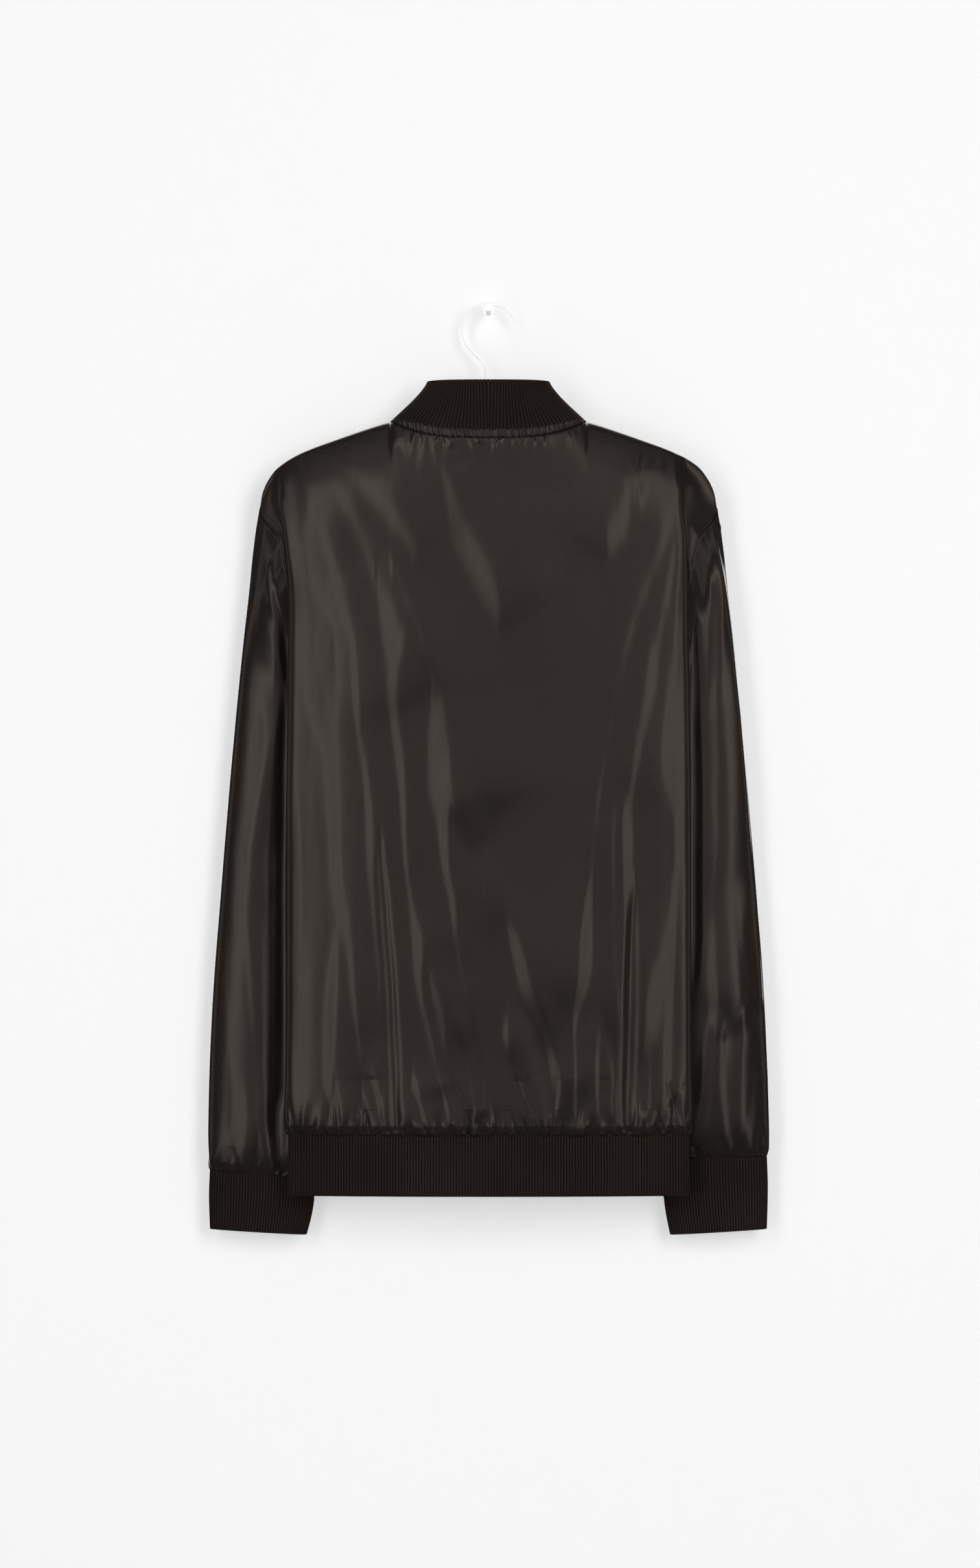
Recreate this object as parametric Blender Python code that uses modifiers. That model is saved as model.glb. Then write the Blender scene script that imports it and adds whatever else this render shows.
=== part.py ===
"""Bomber jacket hung on a wire-hook hanger and a round wall peg.

The frame is in metres with +Z up. The origin is the centre of the peg's flat end on the wall, the wall is the
plane y = 0, and the jacket hangs on its -Y side with its back to the room and its front to the wall.
The wearer's left is at -X.
"""

import math

import bpy
from mathutils import Matrix, Vector

MM = 0.001
LEFT, RIGHT = -1, 1
SIDE_NAME = {LEFT: "left", RIGHT: "right"}


def table(columns, *rows):
    """Rows of lengths in millimetres under named columns, as dictionaries in metres."""
    names = columns.split()
    return [dict(zip(names, (value * MM for value in row))) for row in rows]


# Cloth and seams
SATIN_WALL = 1.2 * MM
RIB_WALL = 2.4 * MM
SEAM_GAP = 0.3 * MM
RIDGE_GAP = 1.3 * MM
ARMHOLE_GAP = 1.6 * MM
UNDERARM_GAP = 2.8 * MM
UNDERARM_START_Z = -355.0 * MM
UNDERARM_BLEND = 40.0 * MM

# Levels and depths of the hanging jacket
RIDGE_Y = -30.0 * MM
HEM_SEAM_Z = -743.5 * MM
HEM_BOTTOM_Z = -799.2 * MM
UNDERARM_Z = -420.0 * MM
RETURN_Y = -40.5 * MM
FRONT_Y = -10.0 * MM
ZIP_EDGE_X = 9.0 * MM

# How the panels round off below the shoulders and widen, and where the fronts step back behind the sleeves
BACK_ROUNDING = 75.0 * MM
BACK_SPREAD = 120.0 * MM
FRONT_ROUNDING = 45.0 * MM
FRONT_SPREAD = 110.0 * MM
RETURN_START_X = 50.0 * MM
RETURN_BLEND_X = 45.0 * MM
RETURN_START_Z = -320.0 * MM
RETURN_BLEND_Z = 105.0 * MM

# Neck
NECK_X = 88.4 * MM
NECK_POINT_Z = -102.4 * MM
BACK_NECK_DROP = 16.5 * MM
BACK_NECK_DEPTH = 32.0 * MM
FRONT_NECK_DROP = 65.0 * MM
FRONT_NECK_DEPTH = 19.5 * MM
HEM_INSET = 2.0 * MM
CASING_HEIGHT = 6.9 * MM
CASING_BULGE = 1.2 * MM
CASING_GAP = 0.45 * MM
CASING_END = math.radians(78)
COLLAR_TOP_X = 55.5 * MM
COLLAR_TOP_Z = -66.5 * MM
COLLAR_TOP_BACK = 26.0 * MM
COLLAR_TOP_FRONT = 17.0 * MM
COLLAR_FRONT_DROP = 54.0 * MM
COLLAR_FLARE = 1.25
COLLAR_CORNER_X = 0.75
COLLAR_CORNER_Y = 0.8
COLLAR_FRONT_SLOPE = 1.3
COLLAR_END_X = 4.0 * MM
COLLAR_SIDE_LIFT = 1.6 * MM
COLLAR_INSET = 2.2 * MM

# The shoulder from the neck point to the sleeve head: distance from the centre line and height of its ridge.
RIDGE = table(
    "x z",
    (88.4, -102.4),
    (104.5, -107.1),
    (138.5, -118.8),
    (169.0, -130.5),
    (188.6, -142.3),
    (198.0, -154.0),
    (203.5, -165.7),
    (206.0, -179.0),
)

# The fold down each side of the back: height, and distance from the centre line on the left and on the right.
SIDE_FOLD = table(
    "z left right",
    (-140.0, 197.0, 178.0),
    (-152.0, 196.0, 176.8),
    (-169.0, 192.0, 175.8),
    (-185.0, 187.6, 176.0),
    (-206.5, 184.0, 178.0),
    (-236.0, 181.0, 179.6),
    (-262.0, 180.0, 180.2),
    (-743.5, 180.5, 180.5),
)
FOLD_START_X = {LEFT: 191.0 * MM, RIGHT: 173.0 * MM}
FOLD_RADIUS_TOP = 4.0 * MM
FOLD_RADIUS = 11.0 * MM
FOLD_GROWTH_Z = -150.0 * MM
FOLD_GROWTH_BLEND = 130.0 * MM
FOLD_SETTLE = 30.0 * MM

# The depth of the back at its centre line.
BACK_DEPTH = table(
    "z y",
    (-118.0, -62.0),
    (-160.0, -65.5),
    (-220.0, -69.0),
    (-350.0, -73.5),
    (-550.0, -76.0),
    (-743.5, -75.0),
)
BACK_CROWN = 12.5 * MM
BACK_CROWN_X = 169.0 * MM

# The armhole seam, down its back half and down its front half.
ARMHOLE_BACK = table(
    "z x y",
    (-179.0, 206.0, -30.0),
    (-187.0, 198.0, -38.0),
    (-207.0, 189.0, -48.0),
    (-236.0, 182.5, -50.0),
    (-262.0, 177.0, -46.5),
    (-300.0, 167.0, -41.5),
    (-360.0, 152.0, -40.5),
    (-420.0, 140.0, -40.5),
    (-450.0, 132.0, -40.5),
    (-743.5, 132.0, -40.5),
)
ARMHOLE_FRONT = table(
    "z x",
    (-179.0, 206.0),
    (-200.0, 203.0),
    (-240.0, 194.0),
    (-300.0, 178.0),
    (-360.0, 158.0),
    (-420.0, 140.0),
    (-450.0, 132.0),
    (-743.5, 132.0),
)

# The sleeve's rings from the armhole to the cuff: outer point, inner point, middle depth, half thickness.
SLEEVE_RINGS = table(
    "outer_x outer_z inner_x inner_z y half",
    (206.0, -179.0, 140.0, -420.0, -26.5, 15.5),
    (209.3, -195.0, 142.0, -430.0, -23.0, 16.0),
    (212.8, -218.0, 135.0, -441.0, -21.0, 15.5),
    (216.8, -256.0, 123.0, -454.0, -20.5, 15.5),
    (221.8, -300.0, 111.0, -470.0, -20.0, 15.5),
    (227.4, -356.0, 104.0, -494.0, -20.0, 15.5),
    (233.0, -416.0, 103.0, -526.0, -20.0, 15.5),
    (238.6, -480.0, 107.0, -566.0, -20.0, 15.5),
    (243.6, -542.0, 113.0, -610.0, -20.0, 15.5),
    (248.2, -600.0, 119.0, -654.0, -20.0, 15.5),
    (251.5, -658.0, 124.0, -696.0, -20.0, 15.5),
    (253.3, -712.0, 128.0, -734.0, -20.0, 15.5),
    (253.2, -748.0, 137.0, -763.0, -20.0, 14.0),
    (251.8, -778.5, 156.5, -786.5, -20.0, 10.5),
)
ARMHOLE_PULL = (1.0, 0.62, 0.3, 0.1)
SLEEVE_SQUARENESS = 2.3
RIGHT_CUFF_LIFT = 12.0 * MM
RIGHT_CUFF_TILT = 8.0 * MM
SHIFT_RING = 9

CUFF_RINGS = table(
    "outer_x outer_z inner_x inner_z y half",
    (252.0, -779.2, 157.5, -787.2, -20.0, 10.5),
    (252.8, -797.0, 157.3, -804.0, -20.0, 10.5),
    (252.6, -814.0, 160.0, -821.0, -20.0, 10.2),
    (252.0, -830.6, 164.0, -835.9, -20.0, 10.0),
)

# The largest folds of the back: three points along each ridge, its height and half width.
BACK_FOLDS = table(
    "x0 z0 x1 z1 x2 z2 height width",
    (-161.0, -170.0, -118.0, -352.0, -100.0, -610.0, 3.6, 13.0),
    (-112.0, -196.0, -60.0, -330.0, -24.0, -600.0, 4.4, 15.0),
    (-88.0, -356.0, -84.0, -500.0, -50.0, -720.0, 3.0, 11.0),
    (-139.0, -136.0, -96.0, -170.0, -66.0, -228.0, 3.4, 12.0),
    (165.0, -182.0, 122.0, -310.0, 80.0, -640.0, 4.0, 14.0),
    (158.0, -250.0, 128.0, -420.0, 116.0, -690.0, 3.2, 11.0),
    (18.0, -560.0, 44.0, -640.0, 58.0, -705.0, 3.0, 15.0),
)
FRONT_FOLDS = table(
    "x0 z0 x1 z1 x2 z2 height width",
    (150.0, -190.0, 100.0, -300.0, 60.0, -400.0, 3.2, 16.0),
    (120.0, -150.0, 70.0, -260.0, 30.0, -420.0, 2.6, 14.0),
)

# Grid steps
ARMHOLE_ROWS = 10
LOWER_ROWS = 13
ROW_CROWDING = 0.55
NECK_CROWDING = 0.4
NECK_COLUMNS = 6
SHOULDER_COLUMNS = 5
WRAP_COLUMNS = 5
FRONT_NECK_COLUMNS = 6
FRONT_SHOULDER_COLUMNS = 5
COLLAR_COLUMNS = 34
COLLAR_ROWS = 4
CASING_COLUMNS = 18
HEM_ROWS = 2
FOLD_FADE = 0.16

# Zip
TAPE_WIDTH = 8.5 * MM
TAPE_WALL = 1.0 * MM
TAPE_Y = -10.6 * MM
ZIP_TOP_Z = -169.0 * MM
SLIDER_Z = -180.0 * MM
SLIDER_SIZE = (8.0 * MM, 1.8 * MM, 11.0 * MM)
SLIDER_FACE_Y = -8.5 * MM
SLIDER_BEVEL = 0.5 * MM
RING_RADIUS = 1.85 * MM
RING_WIRE = 0.4 * MM
PULL_AXIS_Y = -7.75 * MM
PULL_HALF_WALL = 0.4 * MM
PULL_EYE_HALF_WIDTH = 1.9 * MM
PULL_HALF_WIDTH = 2.7 * MM
PULL_LENGTH = 24.0 * MM
PULL_EYE_LENGTH = 6.0 * MM
PULL_SHOULDER = 9.0 * MM
PULL_BAR = 0.45 * MM
PULL_SLOT_HALF_WIDTH = 0.65 * MM
PULL_SLOT_LENGTH = 3.9 * MM

# Hanger and peg
PEG_RADIUS = 4.1 * MM
PEG_LENGTH = 52.0 * MM
PEG_BEVEL = 0.9 * MM
PEG_SIDES = 28
WIRE_RADIUS = 1.2 * MM
HOOK_RADIUS = 24.3 * MM
HOOK_X = 1.0 * MM
HOOK_Y = -14.0 * MM
HOOK_TIP_ANGLE = math.radians(14)
HOOK_TURN_ANGLE = math.radians(215)
HOOK_BEND_START = 12.0 * MM
HOOK_BEND_END = 10.0 * MM
LEAN_TOP_Z = -30.0 * MM
STEM_X = -2.5 * MM
STEM_TOP_Z = -56.0 * MM
ARM_Y = -31.0 * MM
ARM_RADIUS = 3.5 * MM
ARM_LINE = table(
    "x z",
    (0.0, -91.0),
    (30.0, -93.5),
    (60.0, -101.5),
    (88.0, -113.0),
    (105.0, -116.0),
    (138.5, -127.0),
    (165.0, -138.0),
    (172.0, -143.0),
)

COLOURS = {
    "satin": ((0.034, 0.028, 0.025, 1.0), 0.4, 0.0),
    "rib": ((0.014, 0.011, 0.009, 1.0), 0.9, 0.0),
    "tape": ((0.012, 0.010, 0.009, 1.0), 0.8, 0.0),
    "zip_metal": ((0.10, 0.095, 0.09, 1.0), 0.35, 1.0),
    "white_metal": ((0.86, 0.86, 0.85, 1.0), 0.35, 0.0),
}


# ---------------------------------------------------------------- small tools


def smooth(value):
    value = min(1.0, max(0.0, value))
    return value * value * (3.0 - 2.0 * value)


def mix(a, b, share):
    return a + (b - a) * share


def read(rows, key, at, column):
    """The column's value where the key column reads at, on a smooth curve through the rows."""
    if (rows[-1][key] - rows[0][key]) * (at - rows[0][key]) <= 0:
        return rows[0][column]
    if abs(at - rows[0][key]) >= abs(rows[-1][key] - rows[0][key]):
        return rows[-1][column]
    index = next(i for i in range(1, len(rows)) if abs(rows[i][key] - rows[0][key]) >= abs(at - rows[0][key]))
    before, after = rows[index - 1], rows[index]
    span = after[key] - before[key]
    share = (at - before[key]) / span

    def slope(i):
        low, high = rows[max(0, i - 1)], rows[min(len(rows) - 1, i + 1)]
        return (high[column] - low[column]) / (high[key] - low[key]) * span

    rise = after[column] - before[column]
    steep = 2.5 * abs(rise)
    start = max(-steep, min(steep, slope(index - 1)))
    end = max(-steep, min(steep, slope(index)))
    square, cube = share**2, share**3
    return (
        before[column]
        + (3 * square - 2 * cube) * rise
        + (cube - 2 * square + share) * start
        + (cube - square) * end
    )


def bezier(points, share):
    points = [Vector(point) for point in points]
    while len(points) > 1:
        points = [a.lerp(b, share) for a, b in zip(points, points[1:])]
    return points[0]


def fold_lift(folds, x, z, fade=FOLD_FADE):
    """How far the folds raise the cloth at a place on a panel."""
    lift = 0.0
    steps = 12
    for fold in folds:
        line = [(fold["x0"], fold["z0"]), (fold["x1"], fold["z1"]), (fold["x2"], fold["z2"])]
        best = (1.0, 0.0)
        for step in range(steps + 1):
            point = bezier(line, step / steps)
            best = min(best, ((Vector((x, z)) - point).length, step / steps))
        distance, along = best
        ends = smooth(along / fade) * smooth((1.0 - along) / fade)
        lift += fold["height"] * ends * math.exp(-((distance / fold["width"]) ** 2))
    return lift


# ---------------------------------------------------------------- the shape of the body


def ridge_point(share):
    """A point of the shoulder ridge, from the neck point (0) to the sleeve head (1)."""
    lengths = [0.0]
    for a, b in zip(RIDGE, RIDGE[1:]):
        lengths.append(lengths[-1] + math.hypot(b["x"] - a["x"], b["z"] - a["z"]))
    rows = [dict(row, s=length / lengths[-1]) for row, length in zip(RIDGE, lengths)]
    return read(rows, "s", share, "x"), read(rows, "s", share, "z")


def ridge_share(x):
    """Where along the ridge its distance from the centre line is x."""
    low, high = 0.0, 1.0
    for _ in range(30):
        middle = (low + high) / 2
        if ridge_point(middle)[0] < x:
            low = middle
        else:
            high = middle
    return low


FOLD_SHARE = {side: ridge_share(FOLD_START_X[side]) for side in (LEFT, RIGHT)}


def row_levels():
    """The rows of both panels, as shares of the way from top edge to hem seam, the armhole's stretch first."""
    tip = RIDGE[-1]["z"]
    underarm = (tip - UNDERARM_Z) / (tip - HEM_SEAM_Z)
    levels = []
    for row in range(ARMHOLE_ROWS + 1):
        even = row / ARMHOLE_ROWS
        rounded = (1 - math.cos(math.pi * even)) / 2
        levels.append(underarm * mix(even, rounded, ROW_CROWDING))
    for row in range(1, LOWER_ROWS + 1):
        levels.append(mix(underarm, 1.0, row / LOWER_ROWS))
    return levels


LEVELS = row_levels()


def back_neck_z(x):
    return NECK_POINT_Z - BACK_NECK_DROP * (1 - min(1.0, abs(x) / NECK_X) ** 3)


def front_neck_z(x):
    return NECK_POINT_Z - FRONT_NECK_DROP * (1 - min(1.0, abs(x) / NECK_X) ** 2) ** 0.7


def neck_depth(x, depth):
    return RIDGE_Y + depth * math.sqrt(max(0.0, 1 - (x / NECK_X) ** 2))


def rounding(drop, reach):
    """How far a panel has come forward from the ridge, drop below it: a quarter of an ellipse."""
    share = min(1.0, max(0.0, drop) / reach)
    return math.sqrt(1 - (1 - share) ** 2)


def back_depth(x, z):
    return read(BACK_DEPTH, "z", z, "y") + BACK_CROWN * min(1.3, abs(x) / BACK_CROWN_X) ** 2.2


def front_depth(x, z):
    outward = smooth((abs(x) - RETURN_START_X) / RETURN_BLEND_X)
    downward = smooth((RETURN_START_Z - z) / RETURN_BLEND_Z)
    return mix(FRONT_Y, RETURN_Y, outward * downward)


def fold_radius(z):
    return mix(FOLD_RADIUS_TOP, FOLD_RADIUS, smooth((FOLD_GROWTH_Z - z) / FOLD_GROWTH_BLEND))


def back_flat_point(side, share, level):
    """A point of the back between the centre line (share 0) and the start of the side fold (share 1)."""
    neck_share = NECK_COLUMNS / (NECK_COLUMNS + SHOULDER_COLUMNS)
    if share <= neck_share:
        top_x = NECK_X * math.sin(math.pi / 2 * share / neck_share)
        top_z = back_neck_z(top_x)
        top_y = neck_depth(top_x, -BACK_NECK_DEPTH) - RIDGE_GAP
    else:
        along = FOLD_SHARE[side] * (share - neck_share) / (1 - neck_share)
        top_x, top_z = ridge_point(along)
        top_y = RIDGE_Y - RIDGE_GAP
    z = mix(top_z, HEM_SEAM_Z, level)
    fold_z = mix(ridge_point(FOLD_SHARE[side])[1], HEM_SEAM_Z, level)
    drop = ridge_point(FOLD_SHARE[side])[1] - fold_z
    fold_x = read(SIDE_FOLD, "z", fold_z, SIDE_NAME[side]) - fold_radius(fold_z)
    start_x = mix(FOLD_START_X[side], fold_x, smooth(drop / FOLD_SETTLE))
    spread = mix(top_x / FOLD_START_X[side], share, smooth((top_z - z) / BACK_SPREAD))
    x = start_x * spread
    y = mix(top_y, back_depth(x, z), rounding(top_z - z, BACK_ROUNDING))
    return Vector((x, y, z))


def back_wrap_point(side, share, level):
    """A point of the back from the start of the side fold (share 0) round to its outer seam (share 1)."""
    along = mix(FOLD_SHARE[side], 1.0, share)
    ridge_x, ridge_z = ridge_point(along)
    z = mix(ridge_z, HEM_SEAM_Z, level)
    edge_z = mix(RIDGE[-1]["z"], HEM_SEAM_Z, level)
    start = back_flat_point(side, 1.0, level)
    edge_x = read(ARMHOLE_BACK, "z", edge_z, "x")
    edge_y = read(ARMHOLE_BACK, "z", edge_z, "y")
    fold_x = read(SIDE_FOLD, "z", z, SIDE_NAME[side])
    control = (fold_x - (start.x + edge_x) / 8) / 0.75
    turn = bezier(
        [(start.x, start.y), (control, start.y), (control, edge_y), (edge_x, edge_y)], share
    )
    settled = smooth((ridge_z - z) / FOLD_SETTLE)
    x = mix(ridge_x, turn.x, settled)
    y = mix(RIDGE_Y - RIDGE_GAP, turn.y, settled)
    return Vector((x, y, z))


def back_point(across, level, folded=True):
    """A point of the back's outer face: across runs from -2 (left seam) over 0 (centre) to 2 (right seam)."""
    side = LEFT if across < 0 else RIGHT
    if abs(across) <= 1:
        point = back_flat_point(side, abs(across), level)
    else:
        point = back_wrap_point(side, abs(across) - 1, level)
    point.x *= side
    if folded:
        calm = smooth((2 - abs(across)) / 1.0) * smooth(level / 0.05) * smooth((1 - level) / 0.04)
        point.y -= calm * fold_lift(BACK_FOLDS, point.x, point.z)
    return point


def front_point(side, share, level, folded=True):
    """A point of a front's outer face, from the zip edge (share 0) to its armhole or side seam (share 1)."""
    neck_share = FRONT_NECK_COLUMNS / (FRONT_NECK_COLUMNS + FRONT_SHOULDER_COLUMNS)
    if share <= neck_share:
        even = share / neck_share
        rounded = math.sin(math.pi / 2 * even)
        top_x = mix(ZIP_EDGE_X, NECK_X, mix(even, rounded, NECK_CROWDING))
        top_z = front_neck_z(top_x)
        top_y = neck_depth(top_x, FRONT_NECK_DEPTH) + RIDGE_GAP * even
    else:
        top_x, top_z = ridge_point((share - neck_share) / (1 - neck_share))
        top_y = RIDGE_Y + RIDGE_GAP
    z = mix(top_z, HEM_SEAM_Z, level)
    edge_z = mix(RIDGE[-1]["z"], HEM_SEAM_Z, level)
    edge_x = read(ARMHOLE_FRONT, "z", edge_z, "x") - SEAM_GAP
    even_x = mix(ZIP_EDGE_X, edge_x, share)
    x = mix(top_x, even_x, smooth((top_z - z) / FRONT_SPREAD))
    y = mix(top_y, front_depth(x, z), rounding(top_z - z, FRONT_ROUNDING))
    if folded:
        calm = smooth((1 - share) / 0.15) * smooth(share / 0.2) * smooth(level / 0.05)
        y += calm * fold_lift(FRONT_FOLDS, x, z)
    return Vector((side * x, y, z))


def armhole_loop(side):
    """The armhole seam: the back half from the sleeve head to the underarm, then the front half up again."""
    down = [back_point(side * 2, level) for level in LEVELS[: ARMHOLE_ROWS + 1]]
    up = [front_point(side, 1.0, level) for level in LEVELS[: ARMHOLE_ROWS + 1]]
    loop = [(down[0] + up[0]) / 2] + down[1:-1] + [(down[-1] + up[-1]) / 2] + up[-2:0:-1]
    return loop


# ---------------------------------------------------------------- the sleeves and cuffs


def oval(side, ring, lift=0.0, tilt=0.0):
    """An oval ring: outer point, room side, inner point and back by the wall side."""
    outer = Vector((ring["outer_x"], 0, ring["outer_z"] + lift))
    inner = Vector((ring["inner_x"], 0, ring["inner_z"] + lift + tilt))
    points = []
    count = 2 * ARMHOLE_ROWS
    for step in range(count):
        row = step if step <= ARMHOLE_ROWS else count - step
        across = 1 - 2 * LEVELS[row] / LEVELS[ARMHOLE_ROWS]
        bulge = (1 - abs(across) ** SLEEVE_SQUARENESS) ** (1 / SLEEVE_SQUARENESS)
        point = inner.lerp(outer, (1 + across) / 2)
        point.y = ring["y"] - ring["half"] * bulge * (1 if step <= ARMHOLE_ROWS else -1)
        point.x *= side
        points.append(point)
    return points


def cuff_shift(side, share):
    """The right cuff hangs a little higher than the left, and its seam slants the other way."""
    if side == LEFT:
        return 0.0, 0.0
    return RIGHT_CUFF_LIFT * smooth(share), RIGHT_CUFF_TILT * smooth(share)


def sleeve_rings(side):
    loop = armhole_loop(side)
    first = oval(side, SLEEVE_RINGS[0])
    rings = []
    for index, row in enumerate(SLEEVE_RINGS):
        lift, tilt = cuff_shift(side, (index - SHIFT_RING) / (len(SLEEVE_RINGS) - 1 - SHIFT_RING))
        ring = oval(side, row, lift, tilt)
        if index < len(ARMHOLE_PULL):
            pull = ARMHOLE_PULL[index]
            ring = [p + (seam - plain) * pull for p, seam, plain in zip(ring, loop, first)]
        rings.append(ring)
    rings[0] = [step_off(loop, index, below) for index, below in enumerate(rings[1])]
    return rings


def step_off(loop, index, towards):
    """A point of a closed seam, moved square to the seam by the armhole gap, to the side of another point."""
    along = (loop[(index + 1) % len(loop)] - loop[index - 1]).normalized()
    step = towards - loop[index]
    step -= along * step.dot(along)
    low = smooth((UNDERARM_START_Z - loop[index].z) / UNDERARM_BLEND)
    return loop[index] + step.normalized() * mix(ARMHOLE_GAP, UNDERARM_GAP, low)


def cuff_rings(side):
    rings = []
    for index, row in enumerate(CUFF_RINGS):
        share = 1 - index / (len(CUFF_RINGS) - 1)
        lift, tilt = cuff_shift(side, share)
        rings.append(oval(side, row, lift, tilt))
    return rings


# ---------------------------------------------------------------- neck, collar and hem


def casing_height(x):
    return CASING_HEIGHT * (1 - min(1.0, abs(x) / NECK_X) ** 12)


def neck_base(angle):
    """Where the collar is sewn on: angle 0 is the centre back and 180 degrees the centre front."""
    x = NECK_X * math.sin(angle)
    inner_x = (NECK_X - COLLAR_INSET) * math.sin(angle)
    lift = 2 * SEAM_GAP + COLLAR_SIDE_LIFT * smooth(abs(x) / NECK_X * 4 - 3)
    if abs(angle) <= math.pi / 2:
        z = back_neck_z(x) + casing_height(x) + lift
        return Vector((inner_x, neck_depth(x, -BACK_NECK_DEPTH), z))
    return Vector((inner_x, neck_depth(x, FRONT_NECK_DEPTH), front_neck_z(x) + lift))


def collar_point(angle, height):
    base = neck_base(angle)
    sine, cosine = math.sin(angle), math.cos(angle)
    top_x = COLLAR_TOP_X * math.copysign(abs(sine) ** COLLAR_CORNER_X, sine)
    depth = -COLLAR_TOP_BACK if cosine > 0 else COLLAR_TOP_FRONT
    top_y = RIDGE_Y + depth * abs(cosine) ** COLLAR_CORNER_Y
    top_z = COLLAR_TOP_Z + (0.0 if cosine > 0 else -COLLAR_FRONT_DROP * abs(cosine) ** COLLAR_FRONT_SLOPE)
    flare = (1 - height) ** COLLAR_FLARE
    x = mix(top_x, base.x, flare)
    if abs(angle) > math.pi / 2 and abs(x) < COLLAR_END_X:
        x = math.copysign(COLLAR_END_X, angle)
    return Vector((x, mix(top_y, base.y, flare), mix(base.z, top_z, height)))


def hem_outline():
    """The body's outline at the hem seam, from the left front edge round the back to the right front edge."""
    columns = FRONT_NECK_COLUMNS + FRONT_SHOULDER_COLUMNS
    front = [front_point(RIGHT, step / columns, 1.0, False) for step in range(columns)]
    back = [back_point(column, 1.0, False) for column in back_columns()]
    mirrored = [Vector((-p.x, p.y, p.z)) for p in front]
    return mirrored + back + front[::-1]


def inset(outline, distance):
    """The outline moved inwards by a distance, each point along its own normal."""
    moved = []
    for index, point in enumerate(outline):
        before = outline[max(0, index - 1)]
        after = outline[min(len(outline) - 1, index + 1)]
        along = (after - before).normalized()
        moved.append(point + Vector((-along.y, along.x, 0)) * distance)
    return moved


# ---------------------------------------------------------------- making objects


def clear_scene():
    for obj in list(bpy.data.objects):
        bpy.data.objects.remove(obj, do_unlink=True)


def collection(name):
    found = bpy.data.collections.new(name)
    bpy.context.scene.collection.children.link(found)
    return found


def material(name):
    found = bpy.data.materials.get(name)
    if found:
        return found
    colour, roughness, metallic = COLOURS[name]
    found = bpy.data.materials.new(name)
    found.use_nodes = True
    shader = found.node_tree.nodes["Principled BSDF"]
    shader.inputs["Base Color"].default_value = colour
    shader.inputs["Roughness"].default_value = roughness
    shader.inputs["Metallic"].default_value = metallic
    return found


def keep(obj, name, finish, group):
    obj.name = name
    obj.data.name = name
    for old in list(obj.users_collection):
        old.objects.unlink(obj)
    group.objects.link(obj)
    obj.data.materials.clear()
    obj.data.materials.append(material(finish))
    return obj


def sheet(name, rows, closed, wall, finish, group, flip=False):
    """A cloth wall: a grid of points for the outer face, made solid inwards. Closed joins each row's ends."""
    width = len(rows[0])
    mesh = bpy.data.meshes.new(name)
    faces = []
    for r in range(len(rows) - 1):
        for c in range(width if closed else width - 1):
            a, b = r * width + c, r * width + (c + 1) % width
            d, e = a + width, b + width
            halves = [(a, d, e), (a, e, b)] if (r + c) % 2 else [(a, d, b), (b, d, e)]
            faces += [half[::-1] for half in halves] if flip else halves
    mesh.from_pydata([tuple(p) for row in rows for p in row], [], faces)
    obj = bpy.data.objects.new(name, mesh)
    group.objects.link(obj)
    solid = obj.modifiers.new("Wall", "SOLIDIFY")
    solid.thickness = wall
    solid.offset = -1.0
    mesh.shade_smooth()
    return keep(obj, name, finish, group)


def box(name, size, centre, finish, group, bevel=0.0):
    bpy.ops.mesh.primitive_cube_add(size=1.0, location=centre)
    obj = bpy.context.object
    obj.data.transform(Matrix.Diagonal((*size, 1.0)))
    if bevel:
        rounded = obj.modifiers.new("Bevel", "BEVEL")
        rounded.width = bevel
        rounded.segments = 2
    return keep(obj, name, finish, group)


def wire(name, points, radius, finish, group):
    data = bpy.data.curves.new(name, "CURVE")
    data.dimensions = "3D"
    data.bevel_depth = radius
    data.bevel_resolution = 2
    data.use_fill_caps = True
    spline = data.splines.new("POLY")
    spline.points.add(len(points) - 1)
    for target, point in zip(spline.points, points):
        target.co = (*point, 1.0)
    obj = bpy.data.objects.new(name, data)
    group.objects.link(obj)
    return keep(obj, name, finish, group)


# ---------------------------------------------------------------- the pieces


def back_columns():
    flat = NECK_COLUMNS + SHOULDER_COLUMNS
    half = [step / flat for step in range(1, flat + 1)]
    half += [1 + step / WRAP_COLUMNS for step in range(1, WRAP_COLUMNS + 1)]
    return [-value for value in reversed(half)] + [0.0] + half


def make_body(group):
    rows = [[back_point(column, level) for column in back_columns()] for level in LEVELS]
    sheet("back", rows, False, SATIN_WALL, "satin", group)
    columns = FRONT_NECK_COLUMNS + FRONT_SHOULDER_COLUMNS
    for side in (LEFT, RIGHT):
        rows = [[front_point(side, step / columns, level) for step in range(columns + 1)] for level in LEVELS]
        sheet(f"front_{SIDE_NAME[side]}", rows, False, SATIN_WALL, "satin", group, flip=side == RIGHT)


def make_sleeves(group):
    for side in (LEFT, RIGHT):
        name = SIDE_NAME[side]
        flip = side == RIGHT
        sheet(f"sleeve_{name}", sleeve_rings(side), True, SATIN_WALL, "satin", group, flip)
        sheet(f"cuff_{name}", cuff_rings(side), True, RIB_WALL, "rib", group, flip)


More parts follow.
